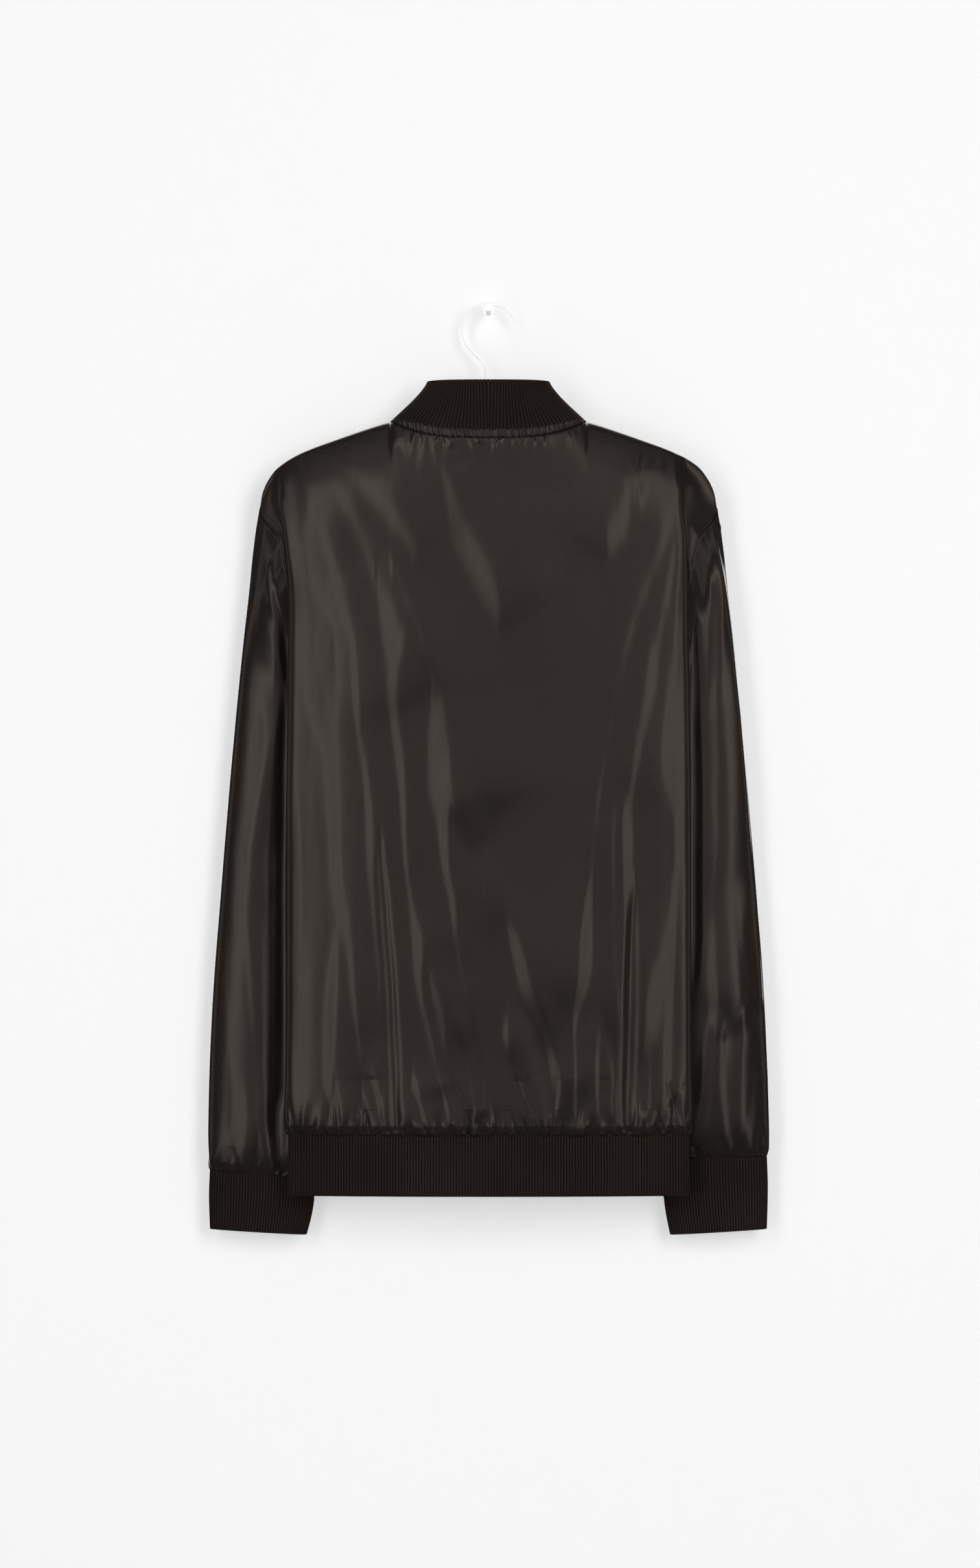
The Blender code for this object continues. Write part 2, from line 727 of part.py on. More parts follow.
def make_neck(group):
    gap = math.asin(COLLAR_END_X / NECK_X)
    angles = [mix(-math.pi + gap, math.pi - gap, step / COLLAR_COLUMNS) for step in range(COLLAR_COLUMNS + 1)]
    heights = [1 - row / COLLAR_ROWS for row in range(COLLAR_ROWS + 1)]
    rows = [[collar_point(angle, height) for angle in angles] for height in heights]
    sheet("collar", rows, False, RIB_WALL, "rib", group)
    angles = [mix(-CASING_END, CASING_END, step / CASING_COLUMNS) for step in range(CASING_COLUMNS + 1)]
    rows = []
    for share, bulge in ((1.0, 0.0), (0.5, CASING_BULGE), (0.0, 0.0)):
        row = []
        for angle in angles:
            x = NECK_X * math.sin(angle)
            y = neck_depth(x, -BACK_NECK_DEPTH) - bulge
            row.append(Vector((x, y, back_neck_z(x) + CASING_GAP + casing_height(x) * share)))
        rows.append(row)
    sheet("neck_casing", rows, False, SATIN_WALL, "satin", group)


def make_hem(group):
    outline = inset(hem_outline(), HEM_INSET)
    rows = []
    for row in range(HEM_ROWS + 1):
        z = mix(HEM_SEAM_Z - SEAM_GAP, HEM_BOTTOM_Z, row / HEM_ROWS)
        rows.append([Vector((p.x, p.y, z)) for p in outline])
    sheet("hem_rib", rows, False, RIB_WALL, "rib", group)


def make_zip(group):
    length = ZIP_TOP_Z - HEM_BOTTOM_Z
    middle_z = (ZIP_TOP_Z + HEM_BOTTOM_Z) / 2
    for side in (LEFT, RIGHT):
        centre = (side * (TAPE_WIDTH + SEAM_GAP) / 2, TAPE_Y - TAPE_WALL / 2, middle_z)
        box(f"zip_tape_{SIDE_NAME[side]}", (TAPE_WIDTH, TAPE_WALL, length), centre, "tape", group)
    centre = (0.0, SLIDER_FACE_Y - SLIDER_SIZE[1] / 2, SLIDER_Z)
    slider = box("zip_slider", SLIDER_SIZE, centre, "zip_metal", group, SLIDER_BEVEL)
    bpy.ops.mesh.primitive_torus_add(
        major_radius=RING_RADIUS,
        minor_radius=RING_WIRE,
        major_segments=20,
        minor_segments=8,
        location=(0.0, SLIDER_FACE_Y, SLIDER_Z),
        rotation=(0.0, math.pi / 2, 0.0),
    )
    ring = bpy.context.object
    ring.name = "slider_ring_cutter"
    ring.hide_render = True
    ring.display_type = "WIRE"
    join = slider.modifiers.new("Ring", "BOOLEAN")
    join.operation = "UNION"
    join.solver = "EXACT"
    join.object = ring
    return ring


def pull_outline():
    """The pull tab's outline below its axis, right half from the eye down to the round end."""
    eye, half = PULL_EYE_HALF_WIDTH, PULL_HALF_WIDTH
    outline = [(eye - PULL_BAR, PULL_BAR), (eye, 0.0), (eye, -PULL_EYE_LENGTH), (half, -PULL_SHOULDER)]
    centre = -PULL_LENGTH + half
    for step in range(7):
        angle = step * math.pi / 12
        outline.append((half * math.cos(angle), centre - half * math.sin(angle)))
    return outline + [(-x, y) for x, y in reversed(outline[:-1])]


def make_pull(group):
    data = bpy.data.curves.new("zip_pull", "CURVE")
    data.dimensions = "2D"
    data.fill_mode = "BOTH"
    data.extrude = PULL_HALF_WALL
    slot_x = PULL_SLOT_HALF_WIDTH
    bar, end = -PULL_BAR, -PULL_SLOT_LENGTH
    slot = [(slot_x, bar), (-slot_x, bar), (-slot_x, end), (slot_x, end)]
    for outline in (pull_outline(), slot):
        spline = data.splines.new("POLY")
        spline.points.add(len(outline) - 1)
        for target, (x, y) in zip(spline.points, outline):
            target.co = (x, y, 0.0, 1.0)
        spline.use_cyclic_u = True
    obj = bpy.data.objects.new("zip_pull", data)
    obj.location = (0.0, PULL_AXIS_Y, SLIDER_Z)
    obj.rotation_euler = (math.pi / 2, 0.0, 0.0)
    group.objects.link(obj)
    keep(obj, "zip_pull", "zip_metal", group)


def hook_points():
    """The hook's wire: from its tip over the peg, round to the left, and by an S-bend down the stem."""
    centre_z = PEG_RADIUS + SEAM_GAP + WIRE_RADIUS - HOOK_RADIUS
    steps = 26
    points = []
    for step in range(steps + 1):
        angle = mix(HOOK_TIP_ANGLE, HOOK_TURN_ANGLE, step / steps)
        points.append((HOOK_X + HOOK_RADIUS * math.cos(angle), centre_z + HOOK_RADIUS * math.sin(angle)))
    last = Vector(points[-1])
    heading = Vector((-math.sin(HOOK_TURN_ANGLE), math.cos(HOOK_TURN_ANGLE)))
    stem_top = Vector((STEM_X, STEM_TOP_Z))
    bend = [last, last + heading * HOOK_BEND_START, stem_top + Vector((0, HOOK_BEND_END)), stem_top]
    points += [tuple(bezier(bend, step / 8)) for step in range(1, 9)]
    foot_z = ARM_LINE[0]["z"] + ARM_RADIUS + SEAM_GAP
    points += [(STEM_X, mix(STEM_TOP_Z, foot_z, step / 4)) for step in range(1, 5)]
    return [
        (x, mix(HOOK_Y, ARM_Y, smooth((LEAN_TOP_Z - z) / (LEAN_TOP_Z - foot_z))), z)
        for x, z in points
    ]


def make_hanger(group):
    wire("hanger_hook", hook_points(), WIRE_RADIUS, "white_metal", group)
    count = 22
    end = ARM_LINE[-1]["x"]
    points = []
    for step in range(-count, count + 1):
        x = end * step / count
        points.append((x, ARM_Y, read(ARM_LINE, "x", abs(x), "z")))
    wire("hanger_arms", points, ARM_RADIUS, "white_metal", group)


def make_peg(group):
    bpy.ops.mesh.primitive_cylinder_add(
        vertices=PEG_SIDES,
        radius=PEG_RADIUS,
        depth=PEG_LENGTH,
        location=(0.0, -PEG_LENGTH / 2, 0.0),
        rotation=(math.pi / 2, 0.0, 0.0),
    )
    peg = bpy.context.object
    rounded = peg.modifiers.new("Bevel", "BEVEL")
    rounded.width = PEG_BEVEL
    rounded.segments = 2
    rounded.limit_method = "ANGLE"
    peg.data.shade_smooth()
    keep(peg, "wall_peg", "white_metal", group)


def main():
    clear_scene()
    jacket = collection("bomber_jacket")
    helpers = collection("cutters")
    make_body(jacket)
    make_sleeves(jacket)
    make_neck(jacket)
    make_hem(jacket)
    ring = make_zip(jacket)
    for old in list(ring.users_collection):
        old.objects.unlink(ring)
    helpers.objects.link(ring)
    make_pull(jacket)
    make_hanger(jacket)
    make_peg(jacket)


main()
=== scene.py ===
"""Bomber jacket in dark satin, hung with its back to the room on a wire hanger over a wall peg."""

import math
from collections import namedtuple

import bpy
import numpy as np
from bpy.props import FloatProperty, FloatVectorProperty, PointerProperty
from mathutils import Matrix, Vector


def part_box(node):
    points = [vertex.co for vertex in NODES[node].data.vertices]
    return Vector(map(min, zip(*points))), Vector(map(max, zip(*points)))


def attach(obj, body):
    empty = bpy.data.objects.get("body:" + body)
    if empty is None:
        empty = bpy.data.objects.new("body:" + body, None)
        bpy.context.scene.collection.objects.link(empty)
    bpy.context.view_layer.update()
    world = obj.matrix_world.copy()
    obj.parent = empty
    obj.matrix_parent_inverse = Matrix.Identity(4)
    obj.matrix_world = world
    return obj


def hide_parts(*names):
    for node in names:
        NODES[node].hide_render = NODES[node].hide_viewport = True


bl_info = {
    "name": "Bomber jacket on a hanger",
    "version": (1, 0, 0),
    "blender": (4, 5, 0),
    "location": "View3D > Sidebar > Jacket",
    "description": "Builds a satin bomber jacket with knit ribs, its hanger and wall peg, and a plain studio",
    "category": "Object",
}

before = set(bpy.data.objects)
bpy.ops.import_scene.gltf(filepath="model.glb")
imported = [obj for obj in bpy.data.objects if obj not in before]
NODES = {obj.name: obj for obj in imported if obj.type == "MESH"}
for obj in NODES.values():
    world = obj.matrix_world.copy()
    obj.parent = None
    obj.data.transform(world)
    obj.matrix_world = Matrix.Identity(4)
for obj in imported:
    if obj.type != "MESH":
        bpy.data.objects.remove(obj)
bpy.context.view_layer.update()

MM = 0.001
LEFT, RIGHT = -1, 1
SIDE_NAME = {LEFT: "left", RIGHT: "right"}
JACKET = "jacket"


# ---------------------------------------------------------------- sizes of the garment


def table(columns, *rows):
    """Named columns of lengths in millimetres, as arrays in metres."""
    return dict(zip(columns.split(), np.array(rows, float).T * MM))


SEAM_GAP = 0.3 * MM
RIDGE_GAP = 1.3 * MM
ARMHOLE_GAP = 0.5 * MM

RIDGE_Y = -30.0 * MM
HEM_SEAM_Z = -743.5 * MM
HEM_BOTTOM_Z = -799.2 * MM
UNDERARM_Z = -420.0 * MM
RETURN_Y = -40.5 * MM
FRONT_Y = -10.0 * MM
ZIP_EDGE_X = 9.0 * MM

BACK_ROUNDING = 75.0 * MM
BACK_SPREAD = 120.0 * MM
FRONT_ROUNDING = 45.0 * MM
FRONT_SPREAD = 110.0 * MM
RETURN_START_X = 50.0 * MM
RETURN_BLEND_X = 45.0 * MM
RETURN_START_Z = -320.0 * MM
RETURN_BLEND_Z = 105.0 * MM

NECK_X = 88.4 * MM
NECK_POINT_Z = -102.4 * MM
BACK_NECK_DROP = 16.5 * MM
BACK_NECK_DEPTH = 32.0 * MM
FRONT_NECK_DROP = 65.0 * MM
FRONT_NECK_DEPTH = 19.5 * MM
HEM_INSET = 2.0 * MM
CASING_HEIGHT = 6.9 * MM
CASING_BULGE = 1.2 * MM
CASING_GAP = 0.45 * MM
CASING_END = math.radians(78)
COLLAR_TOP_X = 55.5 * MM
COLLAR_TOP_Z = -66.5 * MM
COLLAR_TOP_BACK = 26.0 * MM
COLLAR_TOP_FRONT = 17.0 * MM
COLLAR_FRONT_DROP = 54.0 * MM
COLLAR_FLARE = 1.25
COLLAR_CORNER_X = 0.75
COLLAR_CORNER_Y = 0.8
COLLAR_FRONT_SLOPE = 1.3
COLLAR_END_X = 4.0 * MM
COLLAR_SIDE_LIFT = 1.6 * MM
COLLAR_INSET = 2.2 * MM
NECK_SHARE = 6 / 11
FRONT_NECK_SHARE = 6 / 11
NECK_CROWDING = 0.4
ROW_CROWDING = 0.55
BACK_NECK_CURVE = 3
FRONT_NECK_CURVE = 0.7
BACK_CROWN_LIMIT = 1.3
BACK_CROWN_CURVE = 2.2
CASING_TAPER = 12
TOP_LEVEL = 0.06
BOTTOM_LEVEL = 0.92
ARMHOLE_SETTLE = 0.1

RIDGE = table(
    "x z",
    (88.4, -102.4),
    (104.5, -107.1),
    (138.5, -118.8),
    (169.0, -130.5),
    (188.6, -142.3),
    (198.0, -154.0),
    (203.5, -165.7),
    (206.0, -179.0),
)
SIDE_FOLD = table(
    "z left right",
    (-140.0, 197.0, 178.0),
    (-152.0, 196.0, 176.8),
    (-169.0, 192.0, 175.8),
    (-185.0, 187.6, 176.0),
    (-206.5, 184.0, 178.0),
    (-236.0, 181.0, 179.6),
    (-262.0, 180.0, 180.2),
    (-743.5, 180.5, 180.5),
)
FOLD_START_X = {LEFT: 191.0 * MM, RIGHT: 173.0 * MM}
FOLD_RADIUS_TOP = 4.0 * MM
FOLD_RADIUS = 11.0 * MM
FOLD_GROWTH_Z = -150.0 * MM
FOLD_GROWTH_BLEND = 130.0 * MM
FOLD_SETTLE = 30.0 * MM

BACK_DEPTH = table(
    "z y",
    (-118.0, -62.0),
    (-160.0, -65.5),
    (-220.0, -69.0),
    (-350.0, -73.5),
    (-550.0, -76.0),
    (-743.5, -75.0),
)
BACK_CROWN = 12.5 * MM
BACK_CROWN_X = 169.0 * MM

ARMHOLE_BACK = table(
    "z x y",
    (-179.0, 206.0, -30.0),
    (-187.0, 198.0, -38.0),
    (-207.0, 189.0, -48.0),
    (-236.0, 182.5, -50.0),
    (-262.0, 177.0, -46.5),
    (-300.0, 167.0, -41.5),
    (-360.0, 152.0, -40.5),
    (-420.0, 140.0, -40.5),
    (-450.0, 132.0, -40.5),
    (-743.5, 132.0, -40.5),
)
ARMHOLE_FRONT = table(
    "z x",
    (-179.0, 206.0),
    (-200.0, 203.0),
    (-240.0, 194.0),
    (-300.0, 178.0),
    (-360.0, 158.0),
    (-420.0, 140.0),
    (-450.0, 132.0),
    (-743.5, 132.0),
)
SLEEVE_RINGS = table(
    "outer_x outer_z inner_x inner_z y half",
    (206.0, -179.0, 140.0, -420.0, -26.5, 15.5),
    (209.3, -195.0, 142.0, -430.0, -23.0, 16.0),
    (212.8, -218.0, 135.0, -441.0, -21.0, 15.5),
    (216.8, -256.0, 123.0, -454.0, -20.5, 15.5),
    (221.8, -300.0, 111.0, -470.0, -20.0, 15.5),
    (227.4, -356.0, 104.0, -494.0, -20.0, 15.5),
    (233.0, -416.0, 103.0, -526.0, -20.0, 15.5),
    (238.6, -480.0, 107.0, -566.0, -20.0, 15.5),
    (243.6, -542.0, 113.0, -610.0, -20.0, 15.5),
    (248.2, -600.0, 119.0, -654.0, -20.0, 15.5),
    (251.5, -658.0, 124.0, -696.0, -20.0, 15.5),
    (253.3, -712.0, 128.0, -734.0, -20.0, 15.5),
    (253.2, -748.0, 137.0, -763.0, -20.0, 14.0),
    (251.8, -778.5, 156.5, -786.5, -20.0, 10.5),
)
CUFF_RINGS = table(
    "outer_x outer_z inner_x inner_z y half",
    (252.0, -779.2, 157.5, -787.2, -20.0, 10.5),
    (252.8, -797.0, 157.3, -804.0, -20.0, 10.5),
    (252.6, -814.0, 160.0, -821.0, -20.0, 10.2),
    (252.0, -830.6, 164.0, -835.9, -20.0, 10.0),
)
ARMHOLE_PULL = (1.0, 0.62, 0.3, 0.1)
SLEEVE_SQUARENESS = 2.3
RIGHT_CUFF_LIFT = 12.0 * MM
RIGHT_CUFF_TILT = 8.0 * MM
SHIFT_RING = 9
# What holds the jacket up.
ARM_Y = -31.0 * MM
ARM_MIDDLE_Z = -91.0 * MM
ARM_HALF_HEIGHT = 3.5 * MM
PEG_RADIUS = 4.1 * MM
WIRE_RADIUS = 1.2 * MM
HOOK_RADIUS = 24.3 * MM
HOOK_X = 1.0 * MM
HOOK_Y = -14.0 * MM
HOOK_TIP_ANGLE = math.radians(14)
HOOK_TURN_ANGLE = math.radians(215)
HOOK_BEND_START = 12.0 * MM
HOOK_BEND_END = 10.0 * MM
STEM_TOP = (-2.5 * MM, -56.0 * MM)
STEM_FOOT_Z = ARM_MIDDLE_Z + ARM_HALF_HEIGHT + SEAM_GAP
LEAN_TOP_Z = -30.0 * MM

# How many points the cloth has, across and along.
FLAT_COLUMNS = 226
WRAP_COLUMNS = 52
FRONT_COLUMNS = 165
SLEEVE_COLUMNS = 200
SLEEVE_ROWS = 240
SLEEVE_ROW_CROWDING = 1.25
BACK_ROWS = (18, 78, 66)
FRONT_ROWS = (22, 140, 50)
COLLAR_ROWS = 15
HEM_ROWS = 8
CUFF_ROWS = 9
CASING_ROWS = 15
CASING_COLUMNS = 520
RIB_POINTS = 6
EDGE_STEPS = 4
FOLD_STEPS = 6

# The cloth's own small unevenness and how creases raise it. Shares are of a crease's width, and slopes tell
# how far the cloth tips.
CREASE_WANDER = 0.8 * MM
CREASE_REACH = 14 * MM
CREASE_REACH_SHARE = 9
CREASE_CORNER = 0.4 * MM
CREASE_CORNER_SHARE = 0.08
CREASE_FADE = 5 * MM
CREASE_FADE_SHARE = 2.4
CREASE_LINE_STEPS = 5
LEAST_CREASE_WIDTH = 0.2 * MM
LEAST_CREASE_LEAN = 0.6
SUNK_CREASE_SHARE = 0.42
SLOPE_TO_RIGHT = 0.285
SLOPE_TO_LEFT = 0.245
LEAST_SLOPE = 0.08
FAR = 9.0
UNEVEN_SHARE = 0.5
UNEVEN_WAVES = ((0.55, 26, 150), (0.24, 11, 80), (0.07, 5, 24))
WANDER_CELL = (14, 30)
DRIFT_CELLS = 64
DRIFT_START = (17.3, 41.7)
SEAM_DRIFT_CELL = 40
STEEPEST_CURVE = 2.5

# Where each random pattern starts.
WANDER_SEED = 201
BACK_SEED = 11
BACK_WAVES_SEED = 14
BACK_HEM_SEED = 21
BACK_SAG_SEED = 24
NECK_SEED = 31
FRONT_SEED = 41
FRONT_HEM_SEED = 51
FRONT_SAG_SEED = 54
FRONT_PUCKER_SEED = 61
SLEEVE_SEED = 71
CUFF_PLEAT_SEED = 81
ARMHOLE_SEED = 87
CUFF_SAG_SEED = 91
HEM_BAND_SEED = 91
STRIP_SEED = 101

# How satin is gathered at a seam, in millimetres: from pleat to pleat, height (below 0 for a pinch), reach
# from the seam and width. Then how far a pleat may slant, and the crest: 2 rounds it, 1 makes it keen.
Pleats = namedtuple("Pleats", "pitch height reach width slant crest", defaults=(0.22, 2.0))
SEAM_PLEATS = (
    Pleats(13.0, 1.1, 22.0, 3.2),
    Pleats(7.0, 0.9, 9.0, 1.8, 0.4),
    Pleats(6.5, -1.5, 7.0, 1.2, 0.5, 1.1),
    Pleats(12.0, -1.4, 19.0, 1.5, 0.25, 1.1),
)
HEM_PINCHES = Pleats(3.4, -0.9, 4.5, 0.9, 0.5, 1.1)
NECK_PUCKERS = (
    Pleats(6.0, 0.9, 7.0, 1.4, 0.4),
    Pleats(9.0, 0.8, 18.0, 2.6),
    Pleats(7.0, -0.8, 5.0, 1.0, 0.5),
)
FRONT_PUCKERS = Pleats(9.0, 0.6, 14.0, 2.0)
ARMHOLE_PLEATS = Pleats(12.0, 0.7, 16.0, 2.6)
STRIP_PLEATS = Pleats(3.1, 1.0, 60.0, 0.85)

# How one pleat differs from the next, as shares of its kind's, and how it bows, spreads and ends.
PLEAT_PLACE = (0.1, 0.9)
PLEAT_LENGTH = (0.25, 1.0)
PLEAT_HEIGHT = (0.35, 1.3)
PLEAT_WIDTH = (0.6, 1.4)
PLEAT_BOW = 0.8
PLEAT_RANGE = 3.2
PLEAT_LENGTH_CURVE = 1.3
PLEAT_LENGTH_SHARE = 1.5
PLEAT_WAVE = 2.6
PLEAT_SPREAD = 0.8
PLEAT_END = 1.4
ABOVE_SEAM = 10 * MM

# How satin stands out above a gathered seam: how far, over what height it starts, where it is fullest, and
# how slowly it fades.
Blouse = namedtuple("Blouse", "height start full fade")
BACK_BLOUSE = Blouse(1.5 * MM, 9 * MM, 13 * MM, 34 * MM)
FRONT_BLOUSE = BACK_BLOUSE._replace(height=1.6 * MM)
SLEEVE_BLOUSE = Blouse(1.3 * MM, 10 * MM, 14 * MM, 26 * MM)

# How edges tuck under their neighbours, and where the cloth lies calm.
HEM_TUCK = 1.2 * MM
HEM_TUCK_HEIGHTS = (0.7 * MM, 3.6 * MM)
HEM_SAG = (0.3 * MM, 1.4 * MM)
HEM_SAG_HEIGHT = 12 * MM
SHOULDER_TUCK_HEIGHT = 6 * MM
SHOULDER_TUCK_BACK = 2 * RIDGE_GAP + 0.4 * MM
SHOULDER_TUCK_DOWN = 1.6 * MM
SHOULDER_TUCK_CURVE = 4
CUFF_TUCK = 1.0 * MM
CUFF_TUCK_HEIGHT = 2.2 * MM
EDGE_TURN = 1.3 * MM
SHALLOW_TURN = 0.6
PUCKER_START = 1.5 * MM
CALM_TOP = 9 * MM
BACK_CALM_HEM = 5 * MM
BACK_CALM_SIDE = 0.25
BACK_CALM_TURN = 0.35
BACK_CALM_START = 0.2
FRONT_CALM_HEM = 9 * MM
FRONT_CALM_SIDE = 0.06
FRONT_CALM_ZIP = 0.07
FRONT_EDGE_SHARE = 0.05
SLEEVE_CALM_TOP = 14 * MM
SLEEVE_CALM_CUFF = 7 * MM
SLEEVE_MIDDLE_Y = -20 * MM
SLEEVE_MIDDLE_BLEND = 10 * MM
SLEEVE_FLAT_FROM = 0.6
SLEEVE_FLAT_BLEND = 0.3
CUFF_PLEAT_START = 3 * MM
CUFF_PLEAT_SHARE = 0.7
UNDER_SLEEVE_X = 85 * MM
UNDER_SLEEVE_BLEND_X = 20 * MM
UNDER_SLEEVE_Z = -400 * MM
UNDER_SLEEVE_BLEND_Z = 40 * MM
UNDER_SLEEVE_LOSS = 0.6
BESIDE_BODY_X = 186 * MM
BESIDE_BODY_BLEND = 12 * MM
BESIDE_BODY_LOSS = 0.65
VALLEY_X = 194 * MM
VALLEY_BLEND_X = 13 * MM
VALLEY_TOP_Z = -250 * MM
VALLEY_TOP_BLEND = 60 * MM
VALLEY_FOOT_Z = -730 * MM
VALLEY_FOOT_BLEND = 30 * MM
VALLEY_DEPTH = {LEFT: 3.0 * MM, RIGHT: 1.2 * MM}
CENTRE_X = 25 * MM
CENTRE_Z = -370 * MM
CENTRE_HALF_WIDTH = 85 * MM
CENTRE_HALF_HEIGHT = 260 * MM
CENTRE_SPREAD = 1.35
CENTRE_WAVES = 0.9 * MM
CENTRE_CELL = (44, 50)
CENTRE_CALM = 0.9
PUCKER_END_X = NECK_X + 4 * MM
PUCKER_BLEND = 10 * MM
NECK_EASE_COLUMNS = 14
NECK_EASE_ROWS = 8
EASE_COLUMNS = 9
EASE_TIMES = 24

# The knit bands.
KNIT_WALL = 2.4 * MM
ROUGH_POINTS = 1200
CUFF_ROUGH_POINTS = 800
COLLAR_RIB_HEIGHT = 0.4
COLLAR_RIB_SPREAD = 1.12
COLLAR_FOOT_SPREAD = 1.15
COLLAR_FOOT_CURVE = 3
COLLAR_DROP_GAPS = 1.6
COLLAR_DROP_CURVE = 6
BAND_END_POINTS = 5.0
BAND_END_SHARE = 0.02
RIB_CREST = 0.6
HEM_TOP_GAP = 1.5 * MM
HEM_FOLD_ROOM = 1.2 * MM
HEM_END_POINTS = 6.0
HEM_END_SHIFT = 0.1
HEM_WAVES = 0.5 * MM
HEM_WAVES_CELL = (14, 60)
HEM_FRONT_POINTS = 60
HEM_BACK_POINTS = 241
CUFF_TOP_LIFT = 1.0 * MM
STRIP_OVERLAP = 0.12
STRIP_BULGE = 0.55
STRIP_LEAN = 1.6 * MM
STRIP_SINK = 0.4 * MM
STRIP_FLAT_SHARE = 0.35

# Threads and teeth.
BACK_STITCH_COLUMNS = (2, 8, -3, -9)
ARMHOLE_STITCH_COLUMNS = (-5, -9)
ZIP_STITCH_COLUMN = 5
ZIP_STITCH_ROWS = slice(4, -6)
STITCH_FIRST_ROW = 3
STRIP_STITCH_OUT = 1.1 * MM
STRIP_STITCH_UP = 0.9 * MM
STRIP_STITCH_TURN = 0.4
STRIP_STITCH_POINTS = 200
STITCH_RADIUS = 0.23 * MM
STITCH_SIDES = 5
STITCH_START = 0.14
STITCH_SHARE = 0.74
STITCH_SINK = 0.2 * MM
STITCH_PLACES = (0.0, 0.16, 0.5, 0.84, 1.0)
STITCH_GIRTHS = (0.25, 0.85, 1.0, 0.85, 0.25)
TOOTH_OUTLINE = ((-0.55, 0.42), (0.9, 0.55), (3.1, 0.62), (3.1, -0.62), (0.9, -0.55), (-0.55, -0.42))
TOOTH_BEHIND = 0.25 * MM
TOOTH_FRONT = 1.15 * MM
TOOTH_BEVEL = 0.15 * MM
TAPE_END = 2 * MM

# The studio, in metres: lights with their place, their size, whose power they take and what share of it, and
# whether the cloth's shine and its plain colour see them.
Light = namedtuple("Light", "name place size power share glossy diffuse", defaults=(True, True))
LIGHTS = (
    Light("key_light", (1.50, -3.18, 0.45), (1.3, 2.2), "key_power", 1.0, glossy=False),
    Light("fill_light", (-1.58, -2.95, 0.15), (0.9, 3.2), "fill_power", 1.0),
    Light("edge_light", (1.78, -2.75, 0.15), (0.8, 3.2), "fill_power", 0.85, diffuse=False),
    Light("front_light", (0.0, -5.7, 1.0), (4.2, 5.0), "front_power", 1.0, diffuse=False),
    Light("top_light", (0.0, -4.6, 4.3), (6.0, 3.2), "front_power", 0.9, diffuse=False),
    Light("overhead_light", (0.0, -1.5, 4.4), (6.0, 3.0), "front_power", 0.35, diffuse=False),
    Light("side_left_light", (-3.3, -0.75, 0.0), (1.0, 2.4), "front_power", 0.14, diffuse=False),
    Light("side_right_light", (3.3, -0.75, 0.0), (1.0, 2.4), "front_power", 0.14, diffuse=False),
    Light("behind_left_light", (-1.5, 3.3, 0.1), (1.8, 5.2), "behind_power", 1.0),
    Light("behind_right_light", (1.5, 3.3, 0.1), (1.8, 5.2), "behind_power", 1.0),
)
LIGHTS_AIM = (0, 0, -0.45)
WALL_HALF_WIDTH = 4.0
WALL_TOP_Z = 2.6
WALL_GAP = 0.0005
COVE_RADIUS = 0.25
FLOOR_Z = -1.5
FLOOR_END_Y = -7.0
CAMERA_PLACE = (0.00145, -5.072, -0.4292)
CAMERA_LENS = 128.2
CAMERA_SENSOR = 36.0
CAMERA_REACH = 60.0

